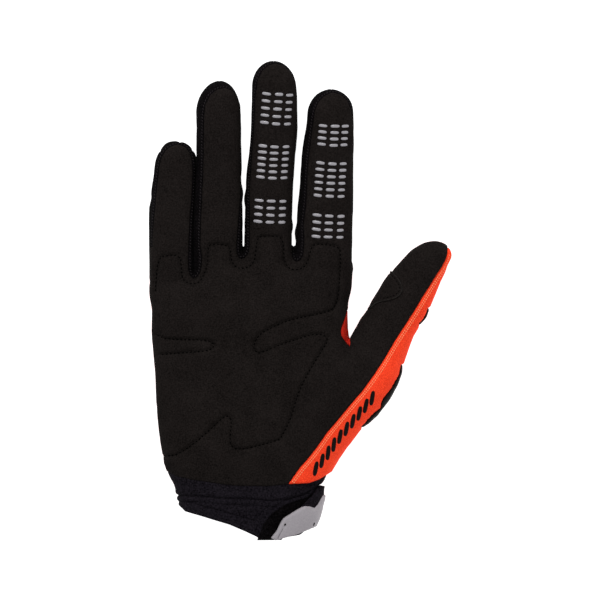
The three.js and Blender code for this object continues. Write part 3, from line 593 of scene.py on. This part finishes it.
def make_skin(step):
    """The hand's skin, made with the fingers spread and then closed up."""
    low = np.array([-87.0, -101.0, -2.2])
    high = np.array([86.0, 123.0, 38.5])
    axes = [np.arange(a, b, step) for a, b in zip(low, high)]
    wide, y, z = np.meshgrid(*axes, indexing="ij")
    x, strip = close_up(wide, y)
    points, quads = surface_nets(hand(x, y, z, strip), low, step)
    x, strip = close_up(points[:, 0], points[:, 1])
    p = np.stack([x, points[:, 1], points[:, 2]], 1)
    p, n = project(p, lambda x, y, z: hand(x, y, z, strip))
    tris = np.concatenate([quads[:, [0, 1, 2]], quads[:, [0, 2, 3]]])
    return Skin(tris, p, n)


def cuff_form(x, y, z):
    left, right = column(CUFF, y, 0, 1), column(CUFF, y, 0, 2)
    across = (x - (left + right) / 2) / ((right - left) / 2)
    return section(across, (z - CUFF_MIDDLE) / (CUFF_TOP - CUFF_MIDDLE)) - 1


def cuff_field(x, y, z):
    return -smooth_min(-metric(cuff_form, x, y, z), z - CUFF_FOOT, FLOOR_BLEND)


def make_cuff(step):
    """The cuff as an open tube, before its hem is cut."""
    turn = np.linspace(0, 2 * np.pi, int(CUFF_GIRTH / step), endpoint=False)
    rows = np.arange(*CUFF_ENDS, step)
    a, y = np.meshgrid(turn, rows)
    left, right = column(CUFF, y, 0, 1), column(CUFF, y, 0, 2)
    x = (left + right) / 2 + (right - left) / 2 * bowed(np.cos(a), 2 / SQUARENESS)
    z = np.maximum(CUFF_MIDDLE + (CUFF_TOP - CUFF_MIDDLE) * bowed(np.sin(a), 2 / SQUARENESS), CUFF_FOOT)
    n, m = len(turn), len(rows)
    i = np.arange(n)
    quads = np.concatenate([np.stack([r * n + i, r * n + (i + 1) % n, (r + 1) * n + (i + 1) % n,
                                      (r + 1) * n + i], 1) for r in range(m - 1)])
    quads = quads[:, ::-1]
    p, normal = project(np.stack([x.ravel(), y.ravel(), z.ravel()], 1), cuff_field)
    return Skin(np.concatenate([quads[:, [0, 1, 2]], quads[:, [0, 2, 3]]]), p, normal)


def across_skin(field, skin):
    """A field as a distance along the skin."""
    f, slopes = gradient(field, *skin.p.T)
    g = np.stack(slopes, 1)
    g -= (g * skin.n).sum(1)[:, None] * skin.n
    return f / np.clip(np.linalg.norm(g, axis=1), 0.15, 3)


def shown(surface, rise, outline):
    """Distance on a surface from an outline, as it shows from above once the surface is raised."""
    return across_skin(lambda a, b, c: inside_distance(a, b, outline), surface.moved(rise))


def groove(distance, width):
    """1 on a line, and fading over a width beside it."""
    return np.exp(-(distance / width) ** 2)


rng = np.random.default_rng(7)
LATTICE = rng.uniform(-1, 1, (32, 32, 32))


def noise(p, size):
    """Smooth value noise, with lumps about a size across."""
    q = p / size
    cell = np.floor(q).astype(int)
    t = q - cell
    t = t * t * (3 - 2 * t)
    total = 0
    for dx in (0, 1):
        for dy in (0, 1):
            for dz in (0, 1):
                c = (cell + [dx, dy, dz]) % 32
                w = np.prod(np.where([dx, dy, dz], t, 1 - t), axis=1)
                total = total + LATTICE[c[:, 0], c[:, 1], c[:, 2]] * w
    return total


# Fields over the hand's skin, positive on a panel's side
def front(x, y, z):
    return inside_distance(x, y, FRONT_SEAM)


def above(x, y, z):
    return z - SIDE_SEAM


def beyond_wrist(x, y, z):
    return y - column(WRIST_SEAM, x, 0, 1)


def finger_middle(i, y):
    return column(FINGERS[i]["axis"], y, 0, 1)


def quilt_distance(skin):
    x, y, z = skin.p.T
    d = np.minimum(*[segment_distance(x, y, line) for line in QUILTING])
    return np.where(z > 12, d, 99)


def skin_detail(skin):
    """Where the skin needs small triangles: along its seams, its quilting and the patch's edge."""
    x, y, z = skin.p.T
    seam = (np.abs(front(x, y, z)) < 1.4) & (z > 5)
    low = (np.abs(z - SIDE_SEAM) < 1.2) & (y > 8)
    knuckle = (np.abs(y - KNUCKLE_SEAM) < 1.2) & (z < SIDE_SEAM + 1)
    wrist = np.abs(beyond_wrist(x, y, z)) < 1.2
    stitched = quilt_distance(skin) < 1.2
    patch = np.abs(inside_distance(x, y, THUMB_PATCH) - 0.7) < 1.7
    return seam | low | knuckle | wrist | stitched | patch


def guard_field(skin, outline, first, last):
    """Distance inside a guard's border: its ends along the thumb, its foot and its outline from above."""
    x, y, z = skin.p.T
    t, _ = thumb_place(x, y)
    side = smooth_min(smooth_min(t - first, last - t, 4), z - GUARD_FOOT, 4)
    top = -smooth_min(-shown(skin, 0, outline), z - GUARD_LEVEL, 5)
    return np.minimum(side, top)


def padding_height(skin):
    """The padded palm stands up between its quilting lines, over broad swells and hollows."""
    x, y, z = skin.p.T
    padded = np.clip(inside_distance(x, y, PADDING) / 5, 0, 1) * np.clip((z - 16) / 6, 0, 1)
    padded *= np.clip(-inside_distance(x, y, FLEX_FIELD) / 4, 0, 1)
    height = 0.7 * np.sqrt(padded) - 0.9 * groove(quilt_distance(skin), 0.9)
    over = np.clip((z - 14) / 6, 0, 1)
    for px, py, wide, tall, rise in SWELLS:
        height += rise * over * np.exp(-((x - px) / wide) ** 2 - ((y - py) / tall) ** 2)
    return height


def cloth_height(skin, guards):
    """Padding, the beds that the guards press in, and the unevenness of cloth that is flat on the floor."""
    height = padding_height(skin)
    for keep in guards.values():
        height -= GUARD_BED * np.clip((keep + 0.5) / 0.8, 0, 1)
    height += 0.22 * noise(skin.p * [1, 0.55, 1], 9) + 0.1 * noise(skin.p + 40, 3.4)
    return height - 0.45 * np.clip(1 - skin.p[:, 2] / 3, 0, 1)


def panel_fields(skin, d_front):
    """Each panel's distance inside its own seams."""
    x, y, z = skin.p.T
    d_above = across_skin(above, skin)
    d_wrist = across_skin(beyond_wrist, skin)
    outside = -np.minimum(d_front, d_above)
    knuckle = y - KNUCKLE_SEAM
    centres = [finger_middle(i, y) for i in range(4)]
    lines = [column(line, y, 0, 1) for line in DIVIDES]
    fields = {"palm_panel": np.minimum(np.minimum(d_front, d_above), d_wrist)}
    for i, name in enumerate(("little", "ring", "middle", "index")):
        left = x - lines[i - 1] if i else np.full(len(x), 99.0)
        right = lines[i] - x if i < 3 else INDEX_REACH - x
        fields[name + "_back"] = np.minimum.reduce([-d_above, knuckle, left, right])
    side = np.minimum.reduce([outside, d_above, y - SIDE_START])
    for i, name in enumerate(("little_ring", "ring_middle", "middle_index")):
        fields[name + "_fourchette"] = np.minimum.reduce([side, x - centres[i], centres[i + 1] - x])
    fields["little_side"] = np.minimum.reduce([side, centres[0] - x])
    index_side = np.minimum.reduce([outside, knuckle, x - centres[3], INDEX_REACH - x])
    fields["index_back"] = np.maximum(fields["index_back"], index_side)
    others = np.maximum.reduce([v for k, v in fields.items() if k != "palm_panel"])
    fields["back_panel"] = np.minimum.reduce([outside, -others, d_wrist])
    return fields


def mesh_object(name, made, angle=50.0):
    mesh = bpy.data.meshes.new(name)
    tris = made.tris
    mesh.vertices.add(len(made.p))
    mesh.vertices.foreach_set("co", (made.p * MM).ravel())
    mesh.loops.add(len(tris) * 3)
    mesh.loops.foreach_set("vertex_index", tris.ravel())
    mesh.polygons.add(len(tris))
    mesh.polygons.foreach_set("loop_start", np.arange(len(tris)) * 3)
    mesh.update(calc_edges=True)
    mesh.validate()
    mesh.shade_smooth()
    mesh.set_sharp_from_angle(angle=np.radians(angle))
    piece = bpy.data.objects.new(name, mesh)
    bpy.context.collection.objects.link(piece)
    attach(piece, "root")
    return piece


# Materials
def shader(name, colour, rough, shine=0.12, **sockets):
    material = bpy.data.materials.new(name)
    material.use_nodes = True
    bsdf = material.node_tree.nodes["Principled BSDF"]
    bsdf.inputs["Base Color"].default_value = (*colour, 1)
    bsdf.inputs["Roughness"].default_value = rough
    bsdf.inputs["Specular IOR Level"].default_value = shine
    for key, value in sockets.items():
        bsdf.inputs[key.replace("_", " ")].default_value = value
    return material


def add_node(tree, kind, **sockets):
    node = tree.nodes.new(kind)
    for key, value in sockets.items():
        node.inputs[key].default_value = value
    return node


def grain(material, low, high, scale, depth, kind="ShaderNodeTexNoise", mottle=0.45, span=(0.45, 1.0)):
    """Gives a material its colour, from low to high, and its bump from one fine texture."""
    tree = material.node_tree
    bsdf = tree.nodes["Principled BSDF"]
    place = tree.nodes.new("ShaderNodeTexCoord")
    fine = add_node(tree, kind, Scale=scale)
    tree.links.new(place.outputs["Object"], fine.inputs["Vector"])
    if kind == "ShaderNodeTexNoise":
        fine.inputs["Detail"].default_value = 4.0
    broad = add_node(tree, "ShaderNodeTexNoise", Scale=90.0, Detail=3.0)
    tree.links.new(place.outputs["Object"], broad.inputs["Vector"])
    both = tree.nodes.new("ShaderNodeMath")
    both.operation = "MULTIPLY_ADD"
    both.inputs[1].default_value = mottle
    tree.links.new(broad.outputs[0], both.inputs[0])
    tree.links.new(fine.outputs[0], both.inputs[2])
    ramp = tree.nodes.new("ShaderNodeValToRGB")
    for end, colour, place_on_ramp in zip(ramp.color_ramp.elements, (low, high), span):
        end.position = place_on_ramp
        end.color = (*colour, 1)
    tree.links.new(both.outputs[0], ramp.inputs[0])
    tree.links.new(ramp.outputs[0], bsdf.inputs["Base Color"])
    bump = add_node(tree, "ShaderNodeBump", Strength=1.0, Distance=depth)
    tree.links.new(fine.outputs[0], bump.inputs["Height"])
    tree.links.new(bump.outputs[0], bsdf.inputs["Normal"])
    return material


KNITTED = "ShaderNodeTexVoronoi"
suede = grain(shader("suede", (0.008, 0.006, 0.005), 0.95, 0.02), (0.0027, 0.0021, 0.0019),
              (0.0158, 0.0127, 0.0118), 1500, 0.0002, mottle=0.3, span=(0.4, 0.92))
edge_suede = shader("suede_edge", (0.022, 0.02, 0.019), 0.9, 0.02)
orange = grain(shader("orange_mesh", (0.9, 0.06, 0.02), 0.8, 0.05), (0.7, 0.026, 0.008),
               (1.0, 0.07, 0.022), 2300, 0.00018, KNITTED, mottle=0.3, span=(0.35, 0.85))
knit = grain(shader("black_knit", (0.01, 0.01, 0.012), 0.95, 0.02), (0.0008, 0.0006, 0.0007),
             (0.0052, 0.0042, 0.0048), 1600, 0.0003, KNITTED)
rubber = grain(shader("black_rubber", (0.01, 0.009, 0.008), 0.7, 0.05), (0.003, 0.0026, 0.0023),
               (0.007, 0.006, 0.0055), 2500, 0.00003)
neoprene = grain(shader("neoprene", (0.006, 0.005, 0.007), 0.95, 0.03), (0.0012, 0.0009, 0.0015),
                 (0.0145, 0.012, 0.0162), 1300, 0.0003, mottle=0.15, span=(0.4, 0.78))
# Hook-and-loop pile: its near-black is the patch's own colour, and at the closure's upper right end also
# painted shade for a fold
pile_and_fold_shade = grain(shader("hook_and_loop", (0.004, 0.003, 0.004), 1.0, 0.0), (0.0004, 0.0003, 0.0004),
             (0.006, 0.005, 0.0056), 1300, 0.0006, mottle=0.2, span=(0.4, 0.8))
grey = grain(shader("grey_rubber", (0.31, 0.29, 0.31), 0.5), (0.27, 0.25, 0.27), (0.33, 0.31, 0.33),
             1200, 0.00002)
dark_grey = shader("dark_grey_rubber", (0.09, 0.085, 0.095), 0.6)
thread_dark = shader("dark_thread", (0.0008, 0.0007, 0.0007), 0.9, 0.02)
thread_grey = shader("grey_thread", (0.022, 0.0185, 0.02), 0.9, 0.02)
thread_pale = shader("pale_thread", (0.95, 0.36, 0.17), 0.7)
silicone = shader("silicone", (0.27, 0.26, 0.28), 0.24, 0.5)
# A darker copy of the orange mesh, used as painted shade in the thumb's crook
orange_painted_shade = grain(shader("orange_mesh_painted_shade", (0.4, 0.02, 0.008), 0.9, 0.02), (0.32, 0.01, 0.005),
                    (0.5, 0.022, 0.012), 2300, 0.00018, KNITTED, mottle=0.3, span=(0.35, 0.85))


def paint_crook_shade(mesh):
    """Painted shade: the back panel's faces in the thumb's crook get a darker orange, which stands in for
    the shade there.
    """
    mesh.materials.append(orange_painted_shade)
    centre = np.empty(len(mesh.polygons) * 3)
    mesh.polygons.foreach_get("center", centre)
    x, y, z = centre.reshape(-1, 3).T / MM
    crook = (x > 20) & (x < INDEX_REACH) & (y > -25) & (y < 14) & (z > 6)
    mesh.polygons.foreach_set("material_index", crook.astype(np.int32))


# Each panel's look, slot, how far it stands up, and its turned edge's radius and depth
LOOKS = {
    "palm_panel": (suede, "suede", 0.4, 0.9, 0.9),
    "back_panel": (orange, "orange_mesh", 0.1, 1.1, 1.0),
}
KNIT_LOOK = (knit, "black_knit", 0.0, 0.5, 0.4)


def panel(name, skin, keep):
    """One sewn panel of the hand: its piece of the skin, with a turned edge and a thickness."""
    look, slot, lift, radius, depth = LOOKS.get(name, KNIT_LOOK)
    part = skin.clip(keep).moved(lift).rounded(radius, depth).thick(CLOTH_THICKNESS)
    piece = mesh_object(name + "_cloth", part)
    piece.data.materials.append(look)
    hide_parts(name)
    return piece


def layer(name, node, surface, keep, rise, thickness, radius, look, dent=None):
    """A sheet with its outer side at a rise from a surface."""
    part = surface.moved(rise).clip(keep)
    if dent:
        part = part.moved(-dent(part))
    piece = mesh_object(name, part.rounded(radius).thick(thickness))
    piece.data.materials.append(look)
    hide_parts(node)
    return piece


def stitched_edge(part):
    """The groove of a seam that runs beside an edge."""
    return 0.5 * groove(part.keep - PATCH_STITCH, 0.45)


def thumb_patch(skin, d_front):
    """The patch lies over the thumb's suede, and flatter towards the crook."""
    _, y, z = skin.p.T
    rise = 0.55 + 0.65 * np.clip((y + 6) / 5, 0, 1)
    keep = np.minimum.reduce([shown(skin, rise, THUMB_PATCH), d_front - 0.8, z - SIDE_SEAM])
    layer("thumb_patch_suede", "thumb_patch", skin, keep, rise, 0.9, 0.45, suede, stitched_edge)


def guard(name, skin, keep):
    """A rubber guard round the thumb's outer side, thicker away from its ends."""
    _, first, last = GUARDS[name]
    t, _ = thumb_place(*skin.p.T[:2])
    rise = 1.1 + 0.9 * np.clip(np.minimum(t - first, last - t) / 4, 0, 1)
    layer(name + "_rubber", name, skin, keep, rise, 1.8, 0.9, rubber)


def cuff_detail(tube):
    """Where the cuff needs small triangles: along its hem, its ridge, its rolled edge and its stitches."""
    x, y, z = tube.p.T
    hem = np.abs(y - column(CUFF_HEM, x, 0, 1) - 0.8) < 2.3
    ridge = (segment_distance(x, y, CUFF_RIDGE) < 3) & (z > 15)
    flap = (segment_distance(x, y, NEOPRENE_EDGE) < 2.5) & (z > 15)
    stitch = (segment_distance(x, y, CUFF_V_STITCH) < 1) & (z > 15)
    return hem | ridge | flap | stitch


def cuff_height(tube, hem):
    """The cuff's rolled edge, the ridge across its front, its stitch grooves and its hem."""
    x, y, z = tube.p.T
    edge_side = np.where(y > column(NEOPRENE_EDGE, x, 0, 1), 1, -1)
    flap = segment_distance(x, y, NEOPRENE_EDGE) * edge_side
    rolled = 1 - np.clip(flap / 1.3, 0, 1)
    height = 1.3 * np.sqrt(1 - rolled**2) - 0.35 * groove(flap - 2.3, 0.45)
    ridge = y - column(CUFF_RIDGE, x, 0, 1)
    folds = (0.35 * groove(ridge - 1.6, 1.2) - 0.75 * groove(ridge, 0.5)
             + 0.4 * groove(ridge + 1.7, 1.0) - 0.3 * groove(ridge + 3.2, 0.4))
    height += np.where(flap > 2, 1, 0) * folds
    height -= 0.7 * groove(segment_distance(x, y, CUFF_V_STITCH), 0.5)
    height *= np.clip((z - 10) / 8, 0, 1)
    height -= 0.35 * groove(hem - 1.7, 0.4)
    return height + 0.15 * noise(tube.p, 6) + 0.05 * noise(tube.p, 2)


def cuff_cloth(tube):
    hem = across_skin(lambda a, b, c: b - column(CUFF_HEM, a, 0, 1), tube)
    part = tube.moved(cuff_height(tube, hem)).clip(hem).rounded(0.9).thick(CUFF_THICKNESS)
    piece = mesh_object("cuff_cloth", part)
    piece.data.materials.append(neoprene)
    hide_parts("cuff")


def closure(tube):
    # The pile's near-black patch reaches over the fold's shade at its upper right end, as painted shade
    keep = np.minimum(shown(tube, CLOSURE_RISE, CLOSURE), tube.p[:, 2] - CUFF_MIDDLE)
    layer("closure_pile_and_fold_shade", "closure_patch", tube, keep, CLOSURE_RISE, 0.8, 0.5, pile_and_fold_shade)


def wrist_strap(tube):
    """The strap runs over the cuff's thumb side and under its back."""
    _, y, z = tube.p.T
    rise = 3.05 + 1.05 * np.clip((z - 11) / 8, 0, 1)
    over = np.minimum(shown(tube, rise, STRAP_FRONT), z - CUFF_MIDDLE)
    under = np.minimum(shown(tube, rise, STRAP_BACK), CUFF_MIDDLE - z)
    keep = np.minimum(np.maximum(over, under), STRAP_TOP - y)
    layer("wrist_strap_web", "wrist_strap", tube, keep, rise, 1.6, 0.7, neoprene)


def tab_line(part):
    """The line moulded inside the tab's curved end."""
    return 0.4 * groove(segment_distance(*part.p.T[:2], TAB_LINE), 0.35)


def strap_tab(tube):
    keep = smooth_min(shown(tube, TAB_RISE, TAB), tube.p[:, 2] - TAB_FOOT, 2.5)
    layer("strap_tab_rubber", "strap_tab", tube, keep, TAB_RISE, 1.5, 0.8, grey, tab_line)


# Small pieces set on a surface
def surface_tree(surface, lift=0.0):
    p = surface.p + surface.n * lift
    return BVHTree.FromPolygons(p.tolist(), surface.tris.tolist())


def drop(tree, plan):
    """Places and normals where plan points meet a surface from above, at height 0 where they miss it."""
    places, normals = [], []
    for px, py in np.reshape(plan, (-1, 2)):
        place, normal, _, _ = tree.ray_cast(Vector((px, py, 90)), Vector((0, 0, -1)))
        missed = place is None
        places.append((px, py, 0) if missed else place)
        normals.append((0, 0, 1) if missed else normal)
    shape = np.shape(plan)[:-1] + (3,)
    return np.reshape(places, shape), np.reshape(normals, shape)


def unit(v):
    """Vectors with their length made 1."""
    return v / np.linalg.norm(v, axis=1)[:, None]


def evenly(line, pitch):
    """Points at a pitch along a line, and its direction at each."""
    pts = np.array(smooth_line(line))
    run = np.concatenate([[0], np.cumsum(np.linalg.norm(np.diff(pts, axis=0), axis=1))])
    at = np.arange(pitch / 2, run[-1], pitch)

    def point(at):
        return np.stack([np.interp(at, run, pts[:, k]) for k in (0, 1)], 1)

    return point(at), unit(point(at + 0.2) - point(at - 0.2))


def aside(line, distance):
    """A line moved to its right in the plan."""
    pts = np.array(smooth_line(line))
    way = unit(np.gradient(pts, axis=0))
    return [tuple(p) for p in pts + distance * np.stack([way[:, 1], -way[:, 0]], 1)]


# A thread's rings: how far along its half length, and their share of its radius
CAPSULE = np.array([(-1, 0.3), (-0.8, 0.75), (-0.35, 1), (0.35, 1), (0.8, 0.75), (1, 0.3)])
THREAD_SIDES = 6


def bands(rings, sides, first=0):
    """Triangles between rings of points, from the point numbered first."""
    faces = []
    for near in range(first, first + (rings - 1) * sides, sides):
        for a in range(sides):
            b, far = (a + 1) % sides, near + sides
            faces += [(near + a, far + b, near + b), (near + a, far + a, far + b)]
    return faces


def copies(p, faces):
    """One mesh of many pieces, which have their triangles alike."""
    tris = np.concatenate([np.array(faces) + p.shape[1] * i for i in range(len(p))])
    return Skin(tris, p.reshape(-1, 3))


def capsule_faces():
    """A thread's triangles: its rings, and a fan at both ends."""
    faces = bands(len(CAPSULE), THREAD_SIDES)
    last = (len(CAPSULE) - 1) * THREAD_SIDES
    for a in range(1, THREAD_SIDES - 1):
        faces.append((0, a, a + 1))
        faces.append((last, last + a + 1, last + a))
    return faces


def stitch_mesh(tree, rows, length, radius, lift, slant=0.0):
    """Threads along plan rows of (places, ways), each an arched bead that dips in at its ends."""
    place = np.concatenate([r[0] for r in rows])
    way = np.concatenate([r[1] for r in rows])
    c, s = np.cos(slant), np.sin(slant)
    way = np.stack([way[:, 0] * c - way[:, 1] * s, way[:, 0] * s + way[:, 1] * c], 1)
    middle, normal = drop(tree, place)
    ends, _ = drop(tree, place + way * length / 2)
    starts, _ = drop(tree, place - way * length / 2)
    found = np.minimum.reduce([middle[:, 2], ends[:, 2], starts[:, 2]]) > 0
    middle, normal, ends, starts = middle[found], normal[found], ends[found], starts[found]
    along = unit(ends - starts)
    across = unit(np.cross(normal, along))
    up = np.cross(along, across)
    rings = []
    for u, r in CAPSULE:
        rise = lift - 0.9 * radius * u**2
        for a in np.arange(THREAD_SIDES) * 2 * np.pi / THREAD_SIDES:
            rings.append(middle + along * (u * length / 2) + across * (r * radius * np.cos(a))
                         + up * (rise + r * radius * np.sin(a)))
    return copies(np.stack(rings, 1), capsule_faces())


# A pad's rings: their share of its outline, and their share of its height
DOME = [(0.5, 0.97), (0.8, 0.8), (0.95, 0.45), (1.0, -0.3)]
PAD_SIDES = 18
PAD_SQUARENESS = 3.0


def pad_faces():
    """A pad's triangles: a fan at the top, bands down its side and a fan under it."""
    faces = bands(len(DOME), PAD_SIDES, 1)
    last = 1 + (len(DOME) - 1) * PAD_SIDES
    for i in range(PAD_SIDES):
        j = (i + 1) % PAD_SIDES
        faces += [(0, 1 + i, 1 + j), (last + j, last + i, last + PAD_SIDES)]
    return faces


def pad_mesh(tree, pads, height):
    """Raised drops of rubber: each pad is (x, y, half length, half width, tilt)."""
    pads = np.array(pads, float)
    centre, half, tilt = pads[:, None, :2], pads[:, None, 2:4], pads[:, 4]
    a = np.arange(PAD_SIDES) * 2 * np.pi / PAD_SIDES
    unit = np.stack([bowed(np.cos(a), 2 / PAD_SQUARENESS), bowed(np.sin(a), 2 / PAD_SQUARENESS)], 1)
    c, s = np.cos(tilt)[:, None], np.sin(tilt)[:, None]
    plans, rises = [centre], [np.full((len(pads), 1), 1.0)]
    for share, rise in DOME:
        q = unit[None] * share * half
        turned = np.stack([q[..., 0] * c - q[..., 1] * s, q[..., 0] * s + q[..., 1] * c], 2)
        plans.append(centre + turned)
        rises.append(np.full((len(pads), PAD_SIDES), rise))
    plans.append(centre)
    rises.append(np.full((len(pads), 1), -0.5))
    place, normal = drop(tree, np.concatenate(plans, 1))
    p = place + normal * (np.concatenate(rises, 1) * height)[..., None]
    return copies(p, pad_faces())


def small_piece(name, made, look, angle=60):
    piece = mesh_object(name, made, angle)
    piece.data.materials.append(look)


def grip_pads(tree):
    """Drops of silicone in rows of three, none quite like the next."""
    pads = []
    for count, first, last in GRIP_GROUPS:
        for k in range(count):
            share = k / (count - 1)
            for (half, tilt), start, end in zip(GRIP_SIZES, first, last):
                x, y = np.array(start) * (1 - share) + np.array(end) * share
                half_length = half * rng.uniform(0.96, 1.04)
                half_width = GRIP_HALF_WIDTH * rng.uniform(0.94, 1.06)
                pads.append((x, y, half_length, half_width, tilt + rng.uniform(-0.03, 0.03)))
    small_piece("grip_pads", pad_mesh(tree, pads, 0.45), silicone, 70)


def band_marks(tree):
    """Plain slanted marks on the thumb's outer band."""
    place, way = evenly(aside(TOPSTITCH, 6.3), 5.0)
    tilt = np.arctan2(way[:, 1], way[:, 0]) + 0.5
    marks = [(x, y, 3.8, 1.15, turn) for (x, y), turn in zip(place, tilt)][2:12]
    small_piece("band_marks", pad_mesh(tree, marks, 0.16), rubber, 70)


def hand_threads(palm_tree, cloth_tree):
    """The quilting, the whip stitches on the knit beside the suede, and the orange band's two rows."""
    rows = [evenly(line, 2.0) for line in QUILTING]
    small_piece("quilting_threads", stitch_mesh(palm_tree, rows, 1.4, 0.36, 0.0), thread_dark)
    edge = FRONT_SEAM[:FRONT_SEAM.index(WHIP_END) + 1]
    rows = [evenly(aside(edge, -0.8), 1.5)]
    made = stitch_mesh(cloth_tree, rows, 1.1, 0.19, 0.05, 0.7)
    small_piece("finger_seam_threads", made, thread_grey)
    rows = [evenly(aside(TOPSTITCH, distance), 1.25) for distance in (1.3, 2.2)]
    small_piece("top_stitching", stitch_mesh(cloth_tree, rows, 1.0, 0.17, 0.06), thread_pale)


def patch_threads(patch_tree, edge_tree):
    """The thumb patch's seam and its cut edge."""
    edge = THUMB_PATCH[:9]
    rows = [evenly(aside(edge, PATCH_STITCH), 1.7)]
    small_piece("patch_threads", stitch_mesh(patch_tree, rows, 1.2, 0.25, 0.05), thread_dark)
    rows = [evenly(aside(edge, 0.3), 0.6)]
    small_piece("patch_edge", stitch_mesh(edge_tree, rows, 0.95, 0.24, 0.0), edge_suede)


def tab_details(tree):
    """The tab's moulded line, its small mark and the strap's end."""
    rows = [evenly(TAB_LINE, 0.6)]
    small_piece("tab_line", stitch_mesh(tree, rows, 0.7, 0.16, -0.35), dark_grey)
    small_piece("tab_marks", pad_mesh(tree, TAB_SPOTS, 0.12), rubber)


# The hand: its bare skin, which the seams are laid out on, and the padded cloth
bare_skin = make_skin(SKIN_STEP)
for longest in SKIN_EDGES:
    bare_skin = bare_skin.split_near(skin_detail(bare_skin), longest)
guards = {name: guard_field(bare_skin, *row) for name, row in GUARDS.items()}
padded_skin = bare_skin.moved(cloth_height(bare_skin, guards))
front_distance = across_skin(front, bare_skin)
for name, keep in panel_fields(bare_skin, front_distance).items():
    piece = panel(name, padded_skin, keep)
    # The back panel's faces in the thumb's crook get the darker orange as painted shade
    if name == "back_panel":
        paint_crook_shade(piece.data)
thumb_patch(padded_skin, front_distance)
for name, keep in guards.items():
    guard(name, padded_skin, keep)

# The cuff and what lies over it
cuff_tube = make_cuff(CUFF_STEP)
for longest in CUFF_EDGES:
    cuff_tube = cuff_tube.split_near(cuff_detail(cuff_tube), longest)
cuff_cloth(cuff_tube)
closure(cuff_tube)
wrist_strap(cuff_tube)
strap_tab(cuff_tube)

# Pads, marks and threads
over_palm = surface_tree(padded_skin, 0.4)
over_cloth = surface_tree(padded_skin, 0.1)
grip_pads(over_palm)
band_marks(over_cloth)
hand_threads(over_palm, over_cloth)
patch_threads(surface_tree(padded_skin, 0.75), surface_tree(padded_skin, 1.0))
tab_details(surface_tree(cuff_tube, TAB_RISE))

# Camera, floor and light
eye = bpy.data.cameras.new("camera")
eye.lens, eye.sensor_width, eye.clip_end = 480, 36, 20
camera = bpy.data.objects.new("camera", eye)
camera.location = (0, 0, 4.015)
bpy.context.collection.objects.link(camera)
bpy.context.scene.camera = camera
bpy.context.scene.view_settings.view_transform = "Standard"

FLOOR_HALF = 3
ground = bpy.data.meshes.new("floor")
corners = [(x * FLOOR_HALF, y * FLOOR_HALF, 0) for x, y in ((-1, -1), (1, -1), (1, 1), (-1, 1))]
ground.from_pydata(corners, [], [(0, 1, 2, 3)])
floor = bpy.data.objects.new("floor", ground)
bpy.context.collection.objects.link(floor)
ground.materials.append(shader("floor", (0.5, 0.5, 0.5), 1.0, Emission_Color=(1, 1, 1, 1),
                               Emission_Strength=1.0))


def area_light(name, place, size, power):
    """A round soft light that faces the glove."""
    lamp = bpy.data.lights.new(name, "AREA")
    lamp.shape, lamp.size, lamp.energy = "DISK", size, power
    light = bpy.data.objects.new(name, lamp)
    light.location = place
    light.rotation_euler = Vector(place).to_track_quat("Z", "Y").to_euler()
    bpy.context.collection.objects.link(light)


area_light("key", (-0.35, 1.15, 1.15), 0.8, 19)
area_light("fill", (1.0, -0.4, 1.1), 1.2, 4)
world = bpy.data.worlds.new("studio")
world.use_nodes = True
world.node_tree.nodes["Background"].inputs[0].default_value = (1, 1, 1, 1)
world.node_tree.nodes["Background"].inputs[1].default_value = 0.55
bpy.context.scene.world = world
